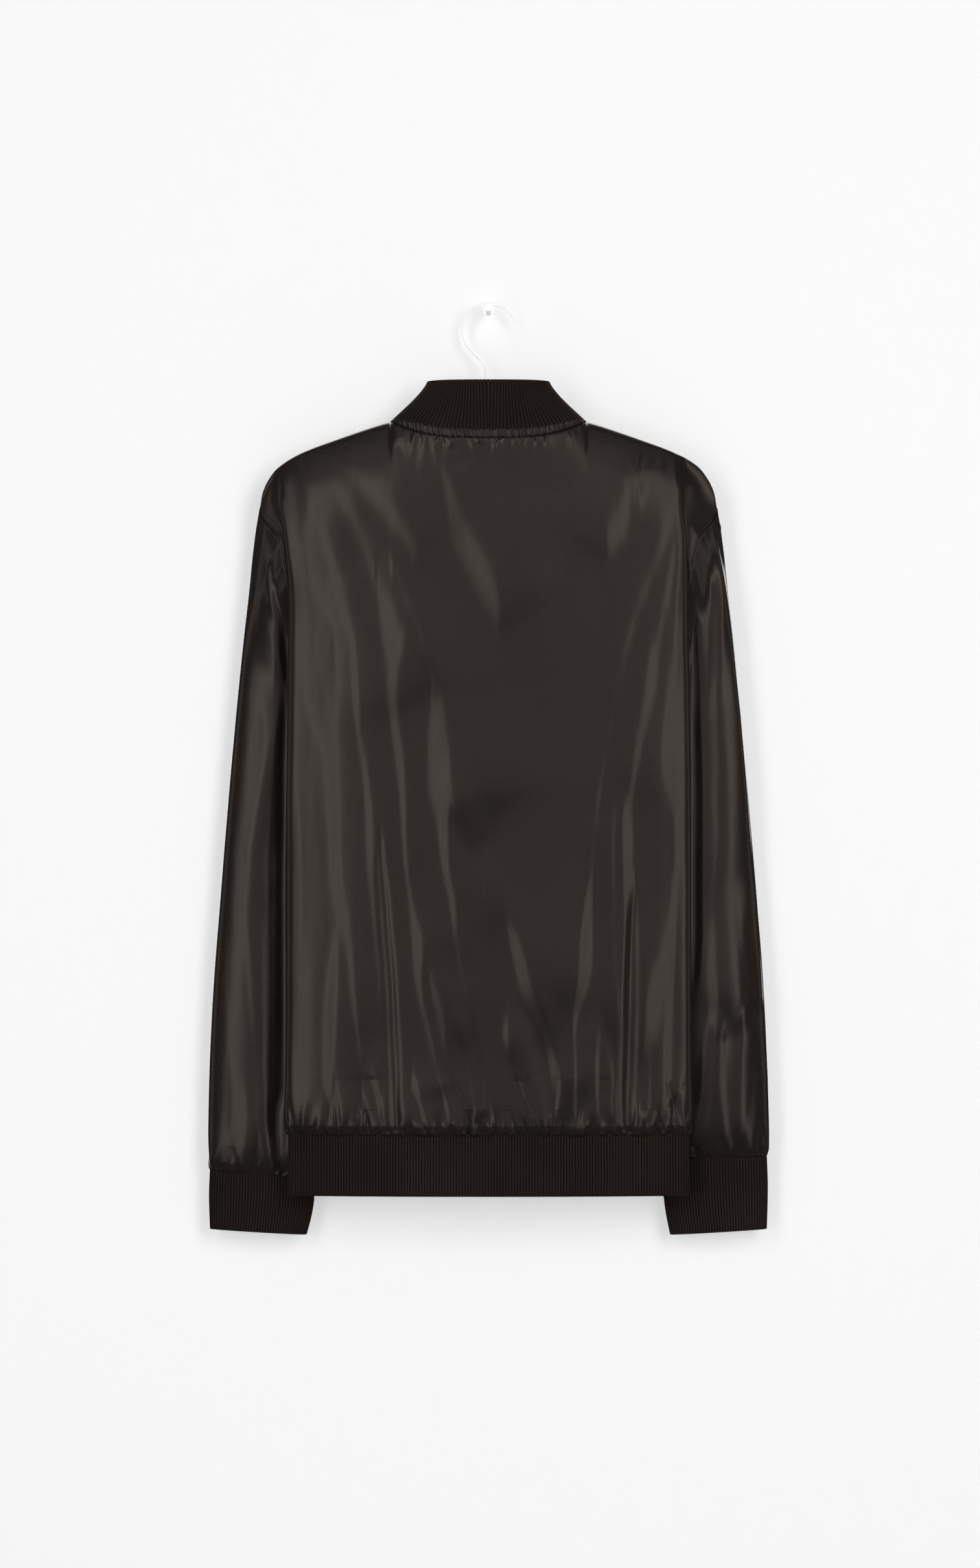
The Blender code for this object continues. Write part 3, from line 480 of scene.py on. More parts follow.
# Creases in millimetres. The first number tells which way the crease's slope faces and how steeply: below 0
# to the left, above 0 to the right, 0 for a sunk fold. Then the points it runs through, from the top down:
# across, height and how wide it is there.
BACK_CREASES = (
    (-1, (-140, -129, 0), (-126, -146, 4), (-108, -165, 8), (-93, -183, 12), (-78, -203, 13),
     (-67, -221, 9), (-61, -232, 0)),
    (-1, (-150, -135, 0), (-137, -160, 3), (-126, -182, 3.5), (-113, -210, 4), (-103, -236, 6),
     (-95, -257, 10), (-88, -284, 18), (-84, -303, 20), (-86, -330, 11), (-86, -354, 9), (-83, -382, 9),
     (-79, -419, 8), (-76, -452, 6), (-75, -481, 5), (-73, -509, 4), (-69, -540, 5.5), (-64, -571, 10),
     (-64, -602, 7), (-60.5, -627, 5), (-52, -658, 4), (-44, -692, 4), (-35, -726, 3), (-33, -738, 0)),
    (-1, (-139, -157, 0), (-121, -188, 4), (-104, -210, 4.5), (-89, -230, 5), (-76, -253, 5.5),
     (-67, -277, 5), (-59, -303, 5), (-52, -327, 6.5), (-46, -350, 11), (-46, -382, 18), (-44.5, -410, 22),
     (-45, -438, 20), (-42, -466, 12), (-39.5, -495, 9), (-37, -512, 8), (-32.4, -537, 6.5),
     (-25.4, -593, 5.6), (-15.5, -636, 4), (-10, -664, 3), (-4.8, -692, 2.2), (-4.3, -715, 1.5),
     (-9, -726, 0)),
    (-1, (-37, -425, 0), (-33, -440, 5), (-26, -460, 6), (-21, -478, 5), (-18, -490, 0)),
    (-1, (-160, -164, 0), (-152, -186, 4), (-145, -217, 6), (-137, -243, 7), (-132, -266, 6),
     (-124, -290, 5), (-120, -312, 5), (-118, -354, 6), (-115.6, -382, 4.5), (-110, -419, 5),
     (-107, -452, 7), (-105.7, -481, 7.5), (-105, -509, 6), (-101.5, -551, 5.5), (-97, -607, 5),
     (-92.2, -653, 3), (-91.6, -672, 1.5), (-94, -720, 1.5), (-94, -735, 0)),
    (-1, (-172, -148, 0), (-169, -165, 12), (-168, -182, 13), (-168, -210, 12), (-167, -247, 15),
     (-158, -275, 26), (-152, -303, 32), (-151, -331, 34), (-149, -360, 30), (-142, -396, 15),
     (-139.5, -438, 13), (-138, -480, 12), (-135, -523, 11), (-129, -557, 10), (-124, -579, 6),
     (-121, -621, 4.5), (-117, -658, 3), (-114, -672, 4), (-106, -684, 6), (-101, -700, 5),
     (-96.5, -714, 3), (-95, -737, 0)),
    (-1, (-135, -552, 0), (-139.5, -602, 10), (-142, -636, 11.5), (-144, -692, 9), (-141, -712, 6),
     (-142, -737, 0)),
    (-0.7, (-172, -430, 0), (-171, -520, 12), (-170, -640, 14), (-166, -700, 10), (-166, -735, 0)),
    (0, (-97, -465, 0), (-96, -490, 2.6), (-93, -537, 4), (-89, -593, 4.6), (-86, -650, 5),
     (-83.5, -706, 4.5), (-83, -742, 3.5)),
    (-1, (-55, -586, 0), (-46.5, -619, 9), (-42, -644, 8), (-40, -664, 5), (-29.6, -698, 4), (-18, -723, 3),
     (-15, -735, 0)),
    (-1, (-36, -632, 0), (-31, -645, 4), (-24, -658, 4.5), (-18, -686, 4), (-12.7, -720, 3),
     (-12, -735, 0)),
    (-1, (-69, -680, 0), (-65, -700, 7), (-60.6, -717, 4), (-53.6, -734, 2), (-52, -740, 0)),
    (-0.8, (-43, -143, 0), (-37, -160, 9), (-31, -185, 15), (-20, -215, 24), (-9, -240, 26), (2, -270, 18),
     (8, -300, 0)),
    (0.8, (118, -140, 0), (124, -162, 6), (121, -182, 13), (116, -200, 18), (112, -215, 15),
     (107, -232, 0)),
    (0, (119, -131, 0), (124, -143, 1.6), (131, -160, 1.6), (136, -178, 0)),
    (1, (124, -132, 0), (131.6, -150, 5), (136.3, -167, 5), (141, -180, 0)),
    (0, (143, -124, 0), (139, -136, 1.5), (136, -150, 0)),
    (1, (149, -128, 0), (145, -146, 8), (139, -162, 7), (137, -175, 0)),
    (1, (159, -130, 0), (158, -146, 6), (157, -160, 0)),
    (0, (-88, -128.5, 0), (-79, -128, 3.0), (-70, -128.5, 0)),
    (0, (-52, -131, 0), (-38, -130.5, 3.8), (-22, -132, 0)),
    (0, (-40, -139.5, 0), (-25, -138, 3.4), (-8, -137.5, 0)),
    (1, (168, -172, 0), (163, -195, 7), (156, -217, 6), (146.5, -240, 5.5), (139, -260, 6.5),
     (131.6, -280, 5.5), (126, -299, 5), (120.5, -318, 5), (116, -336, 5.5), (110.7, -368, 5),
     (103.7, -410, 5), (98, -444, 6), (95, -472, 6), (93.3, -500, 4.5), (89.6, -537, 9), (88, -574, 13),
     (85.4, -607, 10), (78.3, -633, 4), (77, -664, 2.5), (77.5, -715, 2.5), (78, -738, 0)),
    (1, (169, -198, 0), (166, -228, 3.5), (161.3, -256, 4), (155.8, -284, 4.5), (152, -303, 6),
     (148, -318, 8.5), (146, -336, 10), (142, -360, 9), (136, -382, 8), (132.7, -410, 7),
     (127.6, -436, 5.5), (124.8, -452, 8), (125.5, -480, 10), (124.8, -523, 6.5), (124, -574, 4),
     (121.4, -622, 2), (121, -664, 2), (120.6, -712, 2), (121, -738, 0)),
    (0.7, (117, -420, 0), (111, -475, 6), (111.6, -512, 5.5), (111.6, -551, 5), (113.5, -593, 4.5),
     (116, -622, 3), (116.4, -678, 2), (115, -717, 2), (115, -736, 0)),
    (0, (133, -500, 0), (131, -545, 4), (129, -600, 6), (128, -660, 6.5), (127, -710, 6), (126, -742, 4)),
    (1, (174, -140, 0), (174.7, -191, 2.5), (175, -228, 4), (172.5, -256, 4.5), (170.6, -284, 5.5),
     (170, -312, 7), (167.5, -335, 11), (164.3, -368, 14), (164, -410, 17), (168, -447, 10), (170, -480, 8),
     (168.5, -512, 6.5), (166.5, -545, 7), (161.4, -579, 12), (155, -602, 17), (148, -630, 18),
     (143, -658, 13), (136, -686, 5), (135, -720, 3), (135, -736, 0)),
    (1, (168, -560, 0), (161.4, -636, 5), (160, -664, 7), (161.4, -686, 7), (158.6, -706, 5),
     (154.4, -726, 3), (153, -738, 0)),
    (1, (145, -675, 0), (144.5, -692, 3.5), (143, -725, 3), (143, -737, 0)),
    (-1, (6, -517, 0), (16.3, -548, 7), (24.8, -579, 12), (34.6, -616, 14), (46, -644, 11), (56, -670, 9),
     (60, -692, 11), (60.5, -717, 5), (61, -738, 0)),
    (-1, (19, -625, 0), (15, -655, 8), (23.4, -678, 5), (30.4, -703, 4), (40.3, -729, 3), (42, -740, 0)),
    (-1, (26, -660, 0), (36, -692, 3.5), (44.5, -723, 3), (46, -738, 0)),
    (1, (98, -634, 0), (101, -655, 9), (98, -672, 4), (98, -720, 2.5), (98, -738, 0)),
    (1, (104, -652, 0), (108, -668, 5), (111.6, -692, 3), (110.7, -714, 3), (111, -736, 0)),
    (1, (180, -688, 0), (173, -701, 3), (162, -716, 2.5), (154, -727, 0)),
    (-0.6, (0, -490, 0), (-4, -520, 6), (-1, -548, 4), (0, -570, 0)),
    (0, (-89, -128.5, 0), (-76, -129.3, 0.9), (-62, -129, 0)),
    (0, (-50, -131, 0), (-43, -132.3, 1.1), (-36, -131.6, 0.8), (-28, -130.6, 1), (-22, -130, 0)),
    (0, (-34, -139.5, 0), (-26, -139.2, 1.1), (-16, -138, 1), (-8, -137.6, 0)),
    (0, (13, -131, 0), (22, -129, 1.4), (31, -124.5, 0)),
    (0, (32, -128, 0), (38, -127, 1.2), (46, -124, 0)),
    (0, (2.6, -119, 0.8), (2.7, -126, 0.8), (2.6, -134, 0)),
    (0, (-100, -118, 0), (-92, -116.5, 0.9), (-78, -115.5, 0)),
    (0, (64, -119, 0), (76, -122, 0.9), (92, -124.5, 0)),
)
SLEEVE_CREASES = {
    LEFT: (
        (-1, (-205, -350, 0), (-206, -380, 8), (-208, -420, 9), (-212, -455, 7), (-217, -490, 4),
         (-220, -530, 4), (-221, -550, 3), (-217, -582, 5), (-213, -629, 6), (-210, -676, 4),
         (-208, -723, 3), (-204, -766, 2)),
        (-0.8, (-208, -196, 0), (-211, -218, 8), (-215, -270, 11), (-217, -325, 0)),
        (1, (-204, -196, 0), (-193, -251, 4), (-186, -312, 4), (-183, -345, 0)),
        (0, (-184, -350, 0), (-188, -450, 12), (-190, -550, 15), (-190, -680, 14), (-188, -775, 7)),
        (-1, (-234, -670, 0), (-233, -712, 5), (-235, -765, 0)),
        (-1, (-190, -640, 0), (-189, -700, 2.5), (-187, -766, 2.5)),
        (1, (-199, -690, 0), (-197, -730, 3.5), (-194, -770, 3)),
        (-1, (-222, -690, 0), (-221, -730, 4), (-224, -775, 2)),
    ),
    RIGHT: (
        (-1, (199, -176, 0), (202.7, -227, 6), (204, -275, 7.5), (204, -322, 8), (202.7, -369, 10),
         (204, -416, 10), (204, -487, 8), (202, -534, 5), (201.5, -582, 10), (201, -620, 12),
         (203, -643, 8), (206, -665, 0)),
        (-1, (199, -630, 0), (196, -655, 5), (190, -700, 4), (184, -747, 3), (182, -778, 0)),
        (-1, (205, -645, 0), (202, -675, 4), (198, -723, 4), (191, -757, 4), (190, -778, 0)),
        (1, (211, -630, 0), (212, -655, 4), (211, -700, 4), (214, -742, 3), (216, -775, 0)),
        (1, (207, -190, 0), (210, -225, 7), (215, -275, 9), (220, -335, 0)),
        (1, (237, -515, 0), (234, -558, 8), (233, -605, 12), (233, -633, 9), (236, -660, 5), (236, -690, 5),
         (234, -733, 4), (233, -768, 0)),
        (-1, (230, -625, 0), (226, -650, 4), (224, -690, 3), (223, -733, 3), (226, -772, 0)),
        (0, (185, -220, 0), (186, -330, 5), (187, -450, 6.5), (187, -560, 6), (185, -625, 0)),
    ),
}
FRONT_CREASES = {
    LEFT: (
        (-1, (158, -182, 0), (124, -250, 8), (98, -340, 10), (84, -450, 8), (78, -560, 4), (77, -610, 0)),
        (1, (112, -136, 0), (92, -190, 6), (70, -280, 9), (54, -400, 9), (48, -540, 6), (46, -700, 4),
         (46, -738, 0)),
        (-0.8, (40, -190, 0), (32, -270, 13), (32, -360, 0)),
        (1, (64, -560, 0), (66, -650, 7), (60, -738, 2)),
        (-1, (104, -540, 0), (106, -640, 7), (110, -738, 2)),
        (1, (24, -560, 0), (27, -650, 6), (24, -735, 1)),
    ),
    RIGHT: (
        (-1, (164, -190, 0), (132, -262, 8), (104, -352, 10), (92, -470, 7), (88, -570, 4), (87, -620, 0)),
        (1, (118, -140, 0), (96, -206, 6), (78, -300, 9), (62, -420, 9), (56, -560, 6), (50, -705, 4),
         (50, -738, 0)),
        (-0.8, (44, -200, 0), (37, -290, 12), (28, -390, 0)),
        (-1, (72, -540, 0), (78, -640, 7), (80, -738, 2)),
        (1, (112, -560, 0), (110, -650, 7), (116, -738, 2)),
        (-1, (30, -590, 0), (32, -670, 6), (36, -735, 1)),
    ),
}


# ---------------------------------------------------------------- small tools


def smooth(value):
    """An S-shaped rise from 0 to 1, flat below 0 and above 1."""
    value = np.clip(value, 0.0, 1.0)
    return value * value * (3.0 - 2.0 * value)


def mix(a, b, share):
    """The value so far on the way from a to b."""
    return a + (b - a) * share


def read(rows, key, at, column):
    """The column's values where the key column reads at, on a smooth curve through the rows."""
    keys, values = rows[key], rows[column]
    if keys[0] > keys[-1]:
        keys, values = keys[::-1], values[::-1]
    last = len(keys) - 1
    at = np.clip(at, keys[0], keys[-1])
    after = np.clip(np.searchsorted(keys, at, side="right"), 1, last)
    before = after - 1
    span = keys[after] - keys[before]
    share = (at - keys[before]) / span
    rise = values[after] - values[before]
    steep = STEEPEST_CURVE * np.abs(rise)
    low = np.maximum(np.arange(last + 1) - 1, 0)
    high = np.minimum(np.arange(last + 1) + 1, last)
    slope = (values[high] - values[low]) / (keys[high] - keys[low])
    start = np.clip(slope[before] * span, -steep, steep)
    end = np.clip(slope[after] * span, -steep, steep)
    square, cube = share**2, share**3
    curve = (3 * square - 2 * cube) * rise + (cube - 2 * square + share) * start + (cube - square) * end
    return values[before] + curve


def turn(points, share):
    """A point, or an array of them, on the Bezier curve through its control points."""
    while len(points) > 1:
        points = [mix(a, b, share) for a, b in zip(points, points[1:])]
    return points[0]


def stack(x, y, z):
    """Points from their three coordinates."""
    return np.stack(np.broadcast_arrays(x, y, z), -1)


def arc(points):
    """Running length along a line of points."""
    steps = np.linalg.norm(np.diff(points, axis=0), axis=-1)
    return np.concatenate([[0.0], np.cumsum(steps)])


def closed_line(line):
    """A line of points that ends where it starts."""
    return np.concatenate([line, line[:1]])


def unit(vectors):
    """Vectors made one long."""
    return vectors / np.maximum(np.linalg.norm(vectors, axis=-1, keepdims=True), 1e-9)


def facing(points, closed=False, flip=False):
    """Outward directions of a grid whose rows run down and whose columns run across."""
    if closed:
        across = np.roll(points, -1, 1) - np.roll(points, 1, 1)
    else:
        across = np.gradient(points, axis=1)
    outward = unit(np.cross(np.gradient(points, axis=0), across))
    return -outward if flip else outward


def drift(x, z, cell_x, cell_z, seed):
    """Soft uneven waves between -1 and 1 with the size of a cell, in millimetres."""
    count = DRIFT_CELLS
    lattice = np.random.RandomState(seed).uniform(-1.0, 1.0, (count, count))
    u, v = x / (cell_x * MM) + DRIFT_START[0], z / (cell_z * MM) + DRIFT_START[1]
    i, j = np.floor(u).astype(int), np.floor(v).astype(int)
    a, b = smooth(u - i), smooth(v - j)
    upper = mix(lattice[i % count, j % count], lattice[(i + 1) % count, j % count], a)
    lower = mix(lattice[i % count, (j + 1) % count], lattice[(i + 1) % count, (j + 1) % count], a)
    return mix(upper, lower, b)


def smooth_line(points):
    """A smooth line through points in millimetres, with a few steps between each two."""
    points = np.array(points, float) * MM
    where = arc(points[:, :2])
    shares = np.arange(CREASE_LINE_STEPS) / CREASE_LINE_STEPS
    fine = np.concatenate([mix(a, b, shares) for a, b in zip(where, where[1:])] + [where[-1:]])
    return np.stack([read({"s": where, "v": column}, "s", fine, "v") for column in points.T], -1)


def ramp(t, width):
    """1 above a slope, 0 below it, the slope between them as wide as told, its corners rounded."""
    high, low = width / 2 - t, -width / 2 - t
    corner = (CREASE_CORNER + CREASE_CORNER_SHARE * width) ** 2
    return (high + np.sqrt(high * high + corner) - low - np.sqrt(low * low + corner)) / (2 * width)


def softened(values):
    """A grid of values without its smallest steps."""
    for _ in range(2):
        inner = values[:, 1:-1]
        blurred = (values[:, :-2] + 2 * inner + values[:, 2:]) / 4
        across = np.concatenate([values[:, :1], blurred, values[:, -1:]], 1)
        values = np.concatenate([across[:1], (across[:-2] + 2 * across[1:-1] + across[2:]) / 4, across[-1:]])
    return values


def nearest_on(line, px, pz):
    """Each point's distance from a crease, the side it is on, and the crease's width and lean there."""
    best, side, width = np.full(px.shape, FAR), np.ones(px.shape), np.zeros(px.shape)
    lean = np.ones(px.shape)
    for a, b in zip(line, line[1:]):
        way = (b - a)[:2]
        share = np.clip(((px - a[0]) * way[0] + (pz - a[1]) * way[1]) / (way @ way), 0.0, 1.0)
        dx, dz = px - a[0] - share * way[0], pz - a[1] - share * way[1]
        distance = np.hypot(dx, dz)
        closer = distance < best
        best = np.where(closer, distance, best)
        side = np.where(closer, np.sign(dz * way[0] - dx * way[1]), side)
        width = np.where(closer, mix(a[2], b[2], share), width)
        lean = np.where(closer, max(abs(way[1]) / np.hypot(*way), LEAST_CREASE_LEAN), lean)
    return best, side, np.maximum(width, LEAST_CREASE_WIDTH), lean


def slopes(creases, x, z, tilt):
    """How far a set of creases raises the cloth, where the form itself tilts so far to the right."""
    lift = np.zeros(x.shape)
    x = x + CREASE_WANDER * drift(x, z, *WANDER_CELL, WANDER_SEED)
    for face, *line in creases:
        line = smooth_line(line)
        reach = CREASE_REACH + CREASE_REACH_SHARE * line[:, 2].max()
        low, high = line[:, :2].min(0) - reach, line[:, :2].max(0) + reach
        near = (x > low[0]) & (x < high[0]) & (z > low[1]) & (z < high[1])
        best, side, width, lean = nearest_on(line, x[near], z[near])
        if face == 0:
            lift[near] -= SUNK_CREASE_SHARE * width * np.exp(-((best / width) ** 2))
            continue
        toward = math.copysign(1, face)
        t = best * side * toward
        full = SLOPE_TO_RIGHT if face > 0 else SLOPE_TO_LEFT
        steep = np.maximum(full - toward * tilt[near], LEAST_SLOPE) * abs(face)
        past = np.maximum(-t - width / 2, 0)
        fade = np.exp(-((past / (CREASE_FADE_SHARE * width + CREASE_FADE)) ** 2))
        lift[near] += steep / lean * width * ramp(t, width) * fade
    return softened(lift)


def gathers(along, drop, kind, seed, tall=1.0):
    """Pleats of a kind that start at a seam and die out: along the seam, and drop away from it."""
    rng = np.random.RandomState(seed)
    along, drop = np.broadcast_arrays(along, drop)
    low, high = along.min(), along.max()
    near = (drop < PLEAT_RANGE * kind.reach * MM) & (drop > -ABOVE_SEAM)
    s, d = along[near], np.maximum(drop[near], 0.0)
    lift = np.zeros(s.shape)
    for index in range(int((high - low) / (kind.pitch * MM))):
        centre = low + (index + rng.uniform(*PLEAT_PLACE)) * kind.pitch * MM
        length = kind.reach * MM * rng.uniform(*PLEAT_LENGTH) ** PLEAT_LENGTH_CURVE * PLEAT_LENGTH_SHARE
        height = kind.height * tall * MM * rng.uniform(*PLEAT_HEIGHT)
        wide = kind.width * MM * rng.uniform(*PLEAT_WIDTH)
        lean = rng.uniform(-kind.slant, kind.slant)
        bow = rng.uniform(-PLEAT_BOW, PLEAT_BOW) * MM * np.sin(PLEAT_WAVE * d / length + rng.uniform(0, 6))
        spread = wide * (1 + PLEAT_SPREAD * d / length)
        across = np.abs((s - centre - lean * d - bow) / spread) ** kind.crest
        lift += height * np.exp(-across - (d / length) ** PLEAT_END)
    shaped = np.zeros(along.shape)
    shaped[near] = lift
    return shaped


# ---------------------------------------------------------------- the garment's form


RIDGE["s"] = arc(np.stack([RIDGE["x"], RIDGE["z"]], -1))
RIDGE["s"] = RIDGE["s"] / RIDGE["s"][-1]


def ridge_point(share):
    """A point of the shoulder line, from the neck (share 0) to the armhole (share 1)."""
    return read(RIDGE, "s", share, "x"), read(RIDGE, "s", share, "z")


EVEN_SHARES = np.linspace(0, 1, 400)
FOLD_SHARE = {
    side: float(np.interp(FOLD_START_X[side], ridge_point(EVEN_SHARES)[0], EVEN_SHARES))
    for side in (LEFT, RIGHT)
}


def back_neck_z(x):
    """Height of the neck seam on the back."""
    return NECK_POINT_Z - BACK_NECK_DROP * (1 - np.minimum(1.0, np.abs(x) / NECK_X) ** BACK_NECK_CURVE)


def front_neck_z(x):
    """Height of the neck seam on the fronts."""
    return NECK_POINT_Z - FRONT_NECK_DROP * (1 - np.minimum(1.0, np.abs(x) / NECK_X) ** 2) ** FRONT_NECK_CURVE


def neck_depth(x, depth):
    """How far out from the wall the neck seam runs, on the half of its oval that is so deep."""
    return RIDGE_Y + depth * np.sqrt(np.maximum(0.0, 1 - (x / NECK_X) ** 2))


def rounding(drop, reach):
    """How far the cloth has turned over the shoulder, 0 at its top and 1 when it hangs."""
    share = np.clip(drop / reach, 0.0, 1.0)
    return np.sqrt(1 - (1 - share) ** 2)


def back_depth(x, z):
    """How far out from the wall the back hangs."""
    crown = np.minimum(BACK_CROWN_LIMIT, np.abs(x) / BACK_CROWN_X) ** BACK_CROWN_CURVE
    return read(BACK_DEPTH, "z", z, "y") + BACK_CROWN * crown


def front_depth(x, z):
    """How far out from the wall a front hangs."""
    outward = smooth((np.abs(x) - RETURN_START_X) / RETURN_BLEND_X)
    downward = smooth((RETURN_START_Z - z) / RETURN_BLEND_Z)
    return mix(FRONT_Y, RETURN_Y, outward * downward)


def fold_radius(z):
    """Radius of the side fold at a height."""
    return mix(FOLD_RADIUS_TOP, FOLD_RADIUS, smooth((FOLD_GROWTH_Z - z) / FOLD_GROWTH_BLEND))


def back_flat(side, share, level):
    """The back between its centre line (share 0) and the start of the side fold (share 1)."""
    rounded = NECK_X * np.sin(math.pi / 2 * np.minimum(share / NECK_SHARE, 1.0))
    along = FOLD_SHARE[side] * np.maximum(share - NECK_SHARE, 0.0) / (1 - NECK_SHARE)
    ridge_x, ridge_z = ridge_point(along)
    in_neck = share <= NECK_SHARE
    top_x = np.where(in_neck, rounded, ridge_x)
    top_z = np.where(in_neck, back_neck_z(rounded), ridge_z)
    top_y = np.where(in_neck, neck_depth(rounded, -BACK_NECK_DEPTH), RIDGE_Y) - RIDGE_GAP
    fold_top = ridge_point(np.array(FOLD_SHARE[side]))[1]
    z = mix(top_z, HEM_SEAM_Z, level)
    fold_z = mix(fold_top, HEM_SEAM_Z, level)
    fold_x = read(SIDE_FOLD, "z", fold_z, SIDE_NAME[side]) - fold_radius(fold_z)
    start_x = mix(FOLD_START_X[side], fold_x, smooth((fold_top - fold_z) / FOLD_SETTLE))
    x = start_x * mix(top_x / FOLD_START_X[side], share, smooth((top_z - z) / BACK_SPREAD))
    y = mix(top_y, back_depth(x, z), rounding(top_z - z, BACK_ROUNDING))
    return stack(x, y, z)


def back_wrap(side, share, level):
    """The back from the start of the side fold (share 0) round to its armhole or side seam (share 1)."""
    ridge_x, ridge_z = ridge_point(mix(FOLD_SHARE[side], 1.0, share))
    z = mix(ridge_z, HEM_SEAM_Z, level)
    edge_z = mix(RIDGE["z"][-1], HEM_SEAM_Z, level)
    start = back_flat(side, np.array([[1.0]]), level)
    edge_x = read(ARMHOLE_BACK, "z", edge_z, "x")
    edge_y = read(ARMHOLE_BACK, "z", edge_z, "y")
    control = (read(SIDE_FOLD, "z", z, SIDE_NAME[side]) - (start[..., 0] + edge_x) / 8) / 0.75
    turn_x = turn([start[..., 0], control, control, edge_x], share)
    turn_y = turn([start[..., 1], start[..., 1], edge_y, edge_y], share)
    settled = smooth((ridge_z - z) / FOLD_SETTLE)
    return stack(mix(ridge_x, turn_x, settled), mix(RIDGE_Y - RIDGE_GAP, turn_y, settled), z)


def back_form(across, level):
    """The back, across from -2 (left seam) over 0 (centre) to 2 (right seam), and level from 0 to 1 down."""
    level = np.asarray(level)[:, None]
    parts = []
    for side in (LEFT, RIGHT):
        shares = np.abs(across[across < 0] if side == LEFT else across[across >= 0])[None, :]
        flat, wrap = shares[:, shares[0] <= 1], shares[:, shares[0] > 1] - 1
        pieces = [back_flat(side, flat, level), back_wrap(side, wrap, level)]
        part = np.concatenate(pieces[::-1] if side == LEFT else pieces, axis=1)
        part[..., 0] *= side
        parts.append(part)
    return np.concatenate(parts, axis=1)


def front_form(side, share, level):
    """A front, from the zip edge (share 0) to its armhole or side seam (share 1)."""
    share, level = np.asarray(share)[None, :], np.asarray(level)[:, None]
    even = np.minimum(share / FRONT_NECK_SHARE, 1.0)
    crowded = mix(even, np.sin(math.pi / 2 * even), NECK_CROWDING)
    neck_x = mix(ZIP_EDGE_X, NECK_X, crowded)
    ridge_x, ridge_z = ridge_point(np.maximum(share - FRONT_NECK_SHARE, 0.0) / (1 - FRONT_NECK_SHARE))
    in_neck = share <= FRONT_NECK_SHARE
    top_x = np.where(in_neck, neck_x, ridge_x)
    top_z = np.where(in_neck, front_neck_z(neck_x), ridge_z)
    top_y = np.where(in_neck, neck_depth(neck_x, FRONT_NECK_DEPTH) + RIDGE_GAP * even, RIDGE_Y + RIDGE_GAP)
    z = mix(top_z, HEM_SEAM_Z, level)
    edge_z = mix(RIDGE["z"][-1], HEM_SEAM_Z, level)
    even_x = mix(ZIP_EDGE_X, read(ARMHOLE_FRONT, "z", edge_z, "x") - SEAM_GAP, share)
    x = mix(top_x, even_x, smooth((top_z - z) / FRONT_SPREAD))
    y = mix(top_y, front_depth(x, z), rounding(top_z - z, FRONT_ROUNDING))
    return stack(side * x, y, z)


def panel_levels(top, middle, bottom):
    """Rows of a body panel, close together under the shoulders and above the hem."""
    first = TOP_LEVEL * np.linspace(0, 1, top) ** 2
    between = np.linspace(TOP_LEVEL, BOTTOM_LEVEL, middle)[1:]
    return np.concatenate([first, between, np.linspace(BOTTOM_LEVEL, 1.0, bottom)[1:]])


UNDERARM_LEVEL = (RIDGE["z"][-1] - UNDERARM_Z) / (RIDGE["z"][-1] - HEM_SEAM_Z)


def armhole_share(even):
    """Shares down the armhole, closer together at its ends."""
    return mix(even, (1 - np.cos(math.pi * even)) / 2, ROW_CROWDING)


def there_and_back(around):
    """From 0 at a ring's outer point to 1 at its inner point, and back to 0."""
    return np.where(around <= 0.5, 2 * around, 2 - 2 * around)


def oval(side, rows, index, around, lift=0.0, tilt=0.0):
    """One ring of a sleeve or cuff, from its outer point by the room side to the inner point and back."""
    across = 1 - 2 * armhole_share(there_and_back(around))
    bulge = (1 - np.abs(across) ** SLEEVE_SQUARENESS) ** (1 / SLEEVE_SQUARENESS)
    share = (1 + across) / 2
    x = mix(rows["inner_x"][index], rows["outer_x"][index], share)
    z = mix(rows["inner_z"][index] + tilt, rows["outer_z"][index], share) + lift
    y = rows["y"][index] - rows["half"][index] * bulge * np.where(around <= 0.5, 1, -1)
    return stack(side * x, y, z)


def shifted_oval(side, rows, index, around, shift):
    """A ring of a sleeve or cuff, the right one raised and tipped by a share of the right cuff's shift."""
    return oval(side, rows, index, around, RIGHT_CUFF_LIFT * shift, RIGHT_CUFF_TILT * shift)


def armhole_seam(side, around):
    """The seam between body and sleeve, down the back and up the front."""
    even = there_and_back(around)
    level = UNDERARM_LEVEL * armhole_share(even)
    down = back_form(np.array([-2.0, 2.0]), level)[:, 0 if side == LEFT else 1]
    up = front_form(side, np.array([1.0]), level)[:, 0]
    middle = (down + up) / 2
    settled = smooth(np.minimum(even, 1 - even) / ARMHOLE_SETTLE)[:, None]
    return mix(middle, np.where((around <= 0.5)[:, None], down, up), settled)


def through(rings, count, crowd=1.0):
    """A smooth surface of count rows through rings, crowded towards its end, and how far down each row is."""
    where = np.concatenate([[0], np.cumsum(np.linalg.norm(np.diff(rings, axis=0), axis=-1).mean(1))])
    slope = np.gradient(rings, where, axis=0)
    at = where[-1] * (1 - (1 - np.linspace(0, 1, count)) ** crowd)
    after = np.clip(np.searchsorted(where, at, side="right"), 1, len(where) - 1)
    span = (where[after] - where[after - 1])[:, None, None]
    share = (at - where[after - 1])[:, None, None] / span
    a, b = rings[after - 1], rings[after]
    square, cube = share**2, share**3
    curve = (3 * square - 2 * cube) * (b - a) + (cube - 2 * square + share) * slope[after - 1] * span
    return a + curve + (cube - square) * slope[after] * span, at


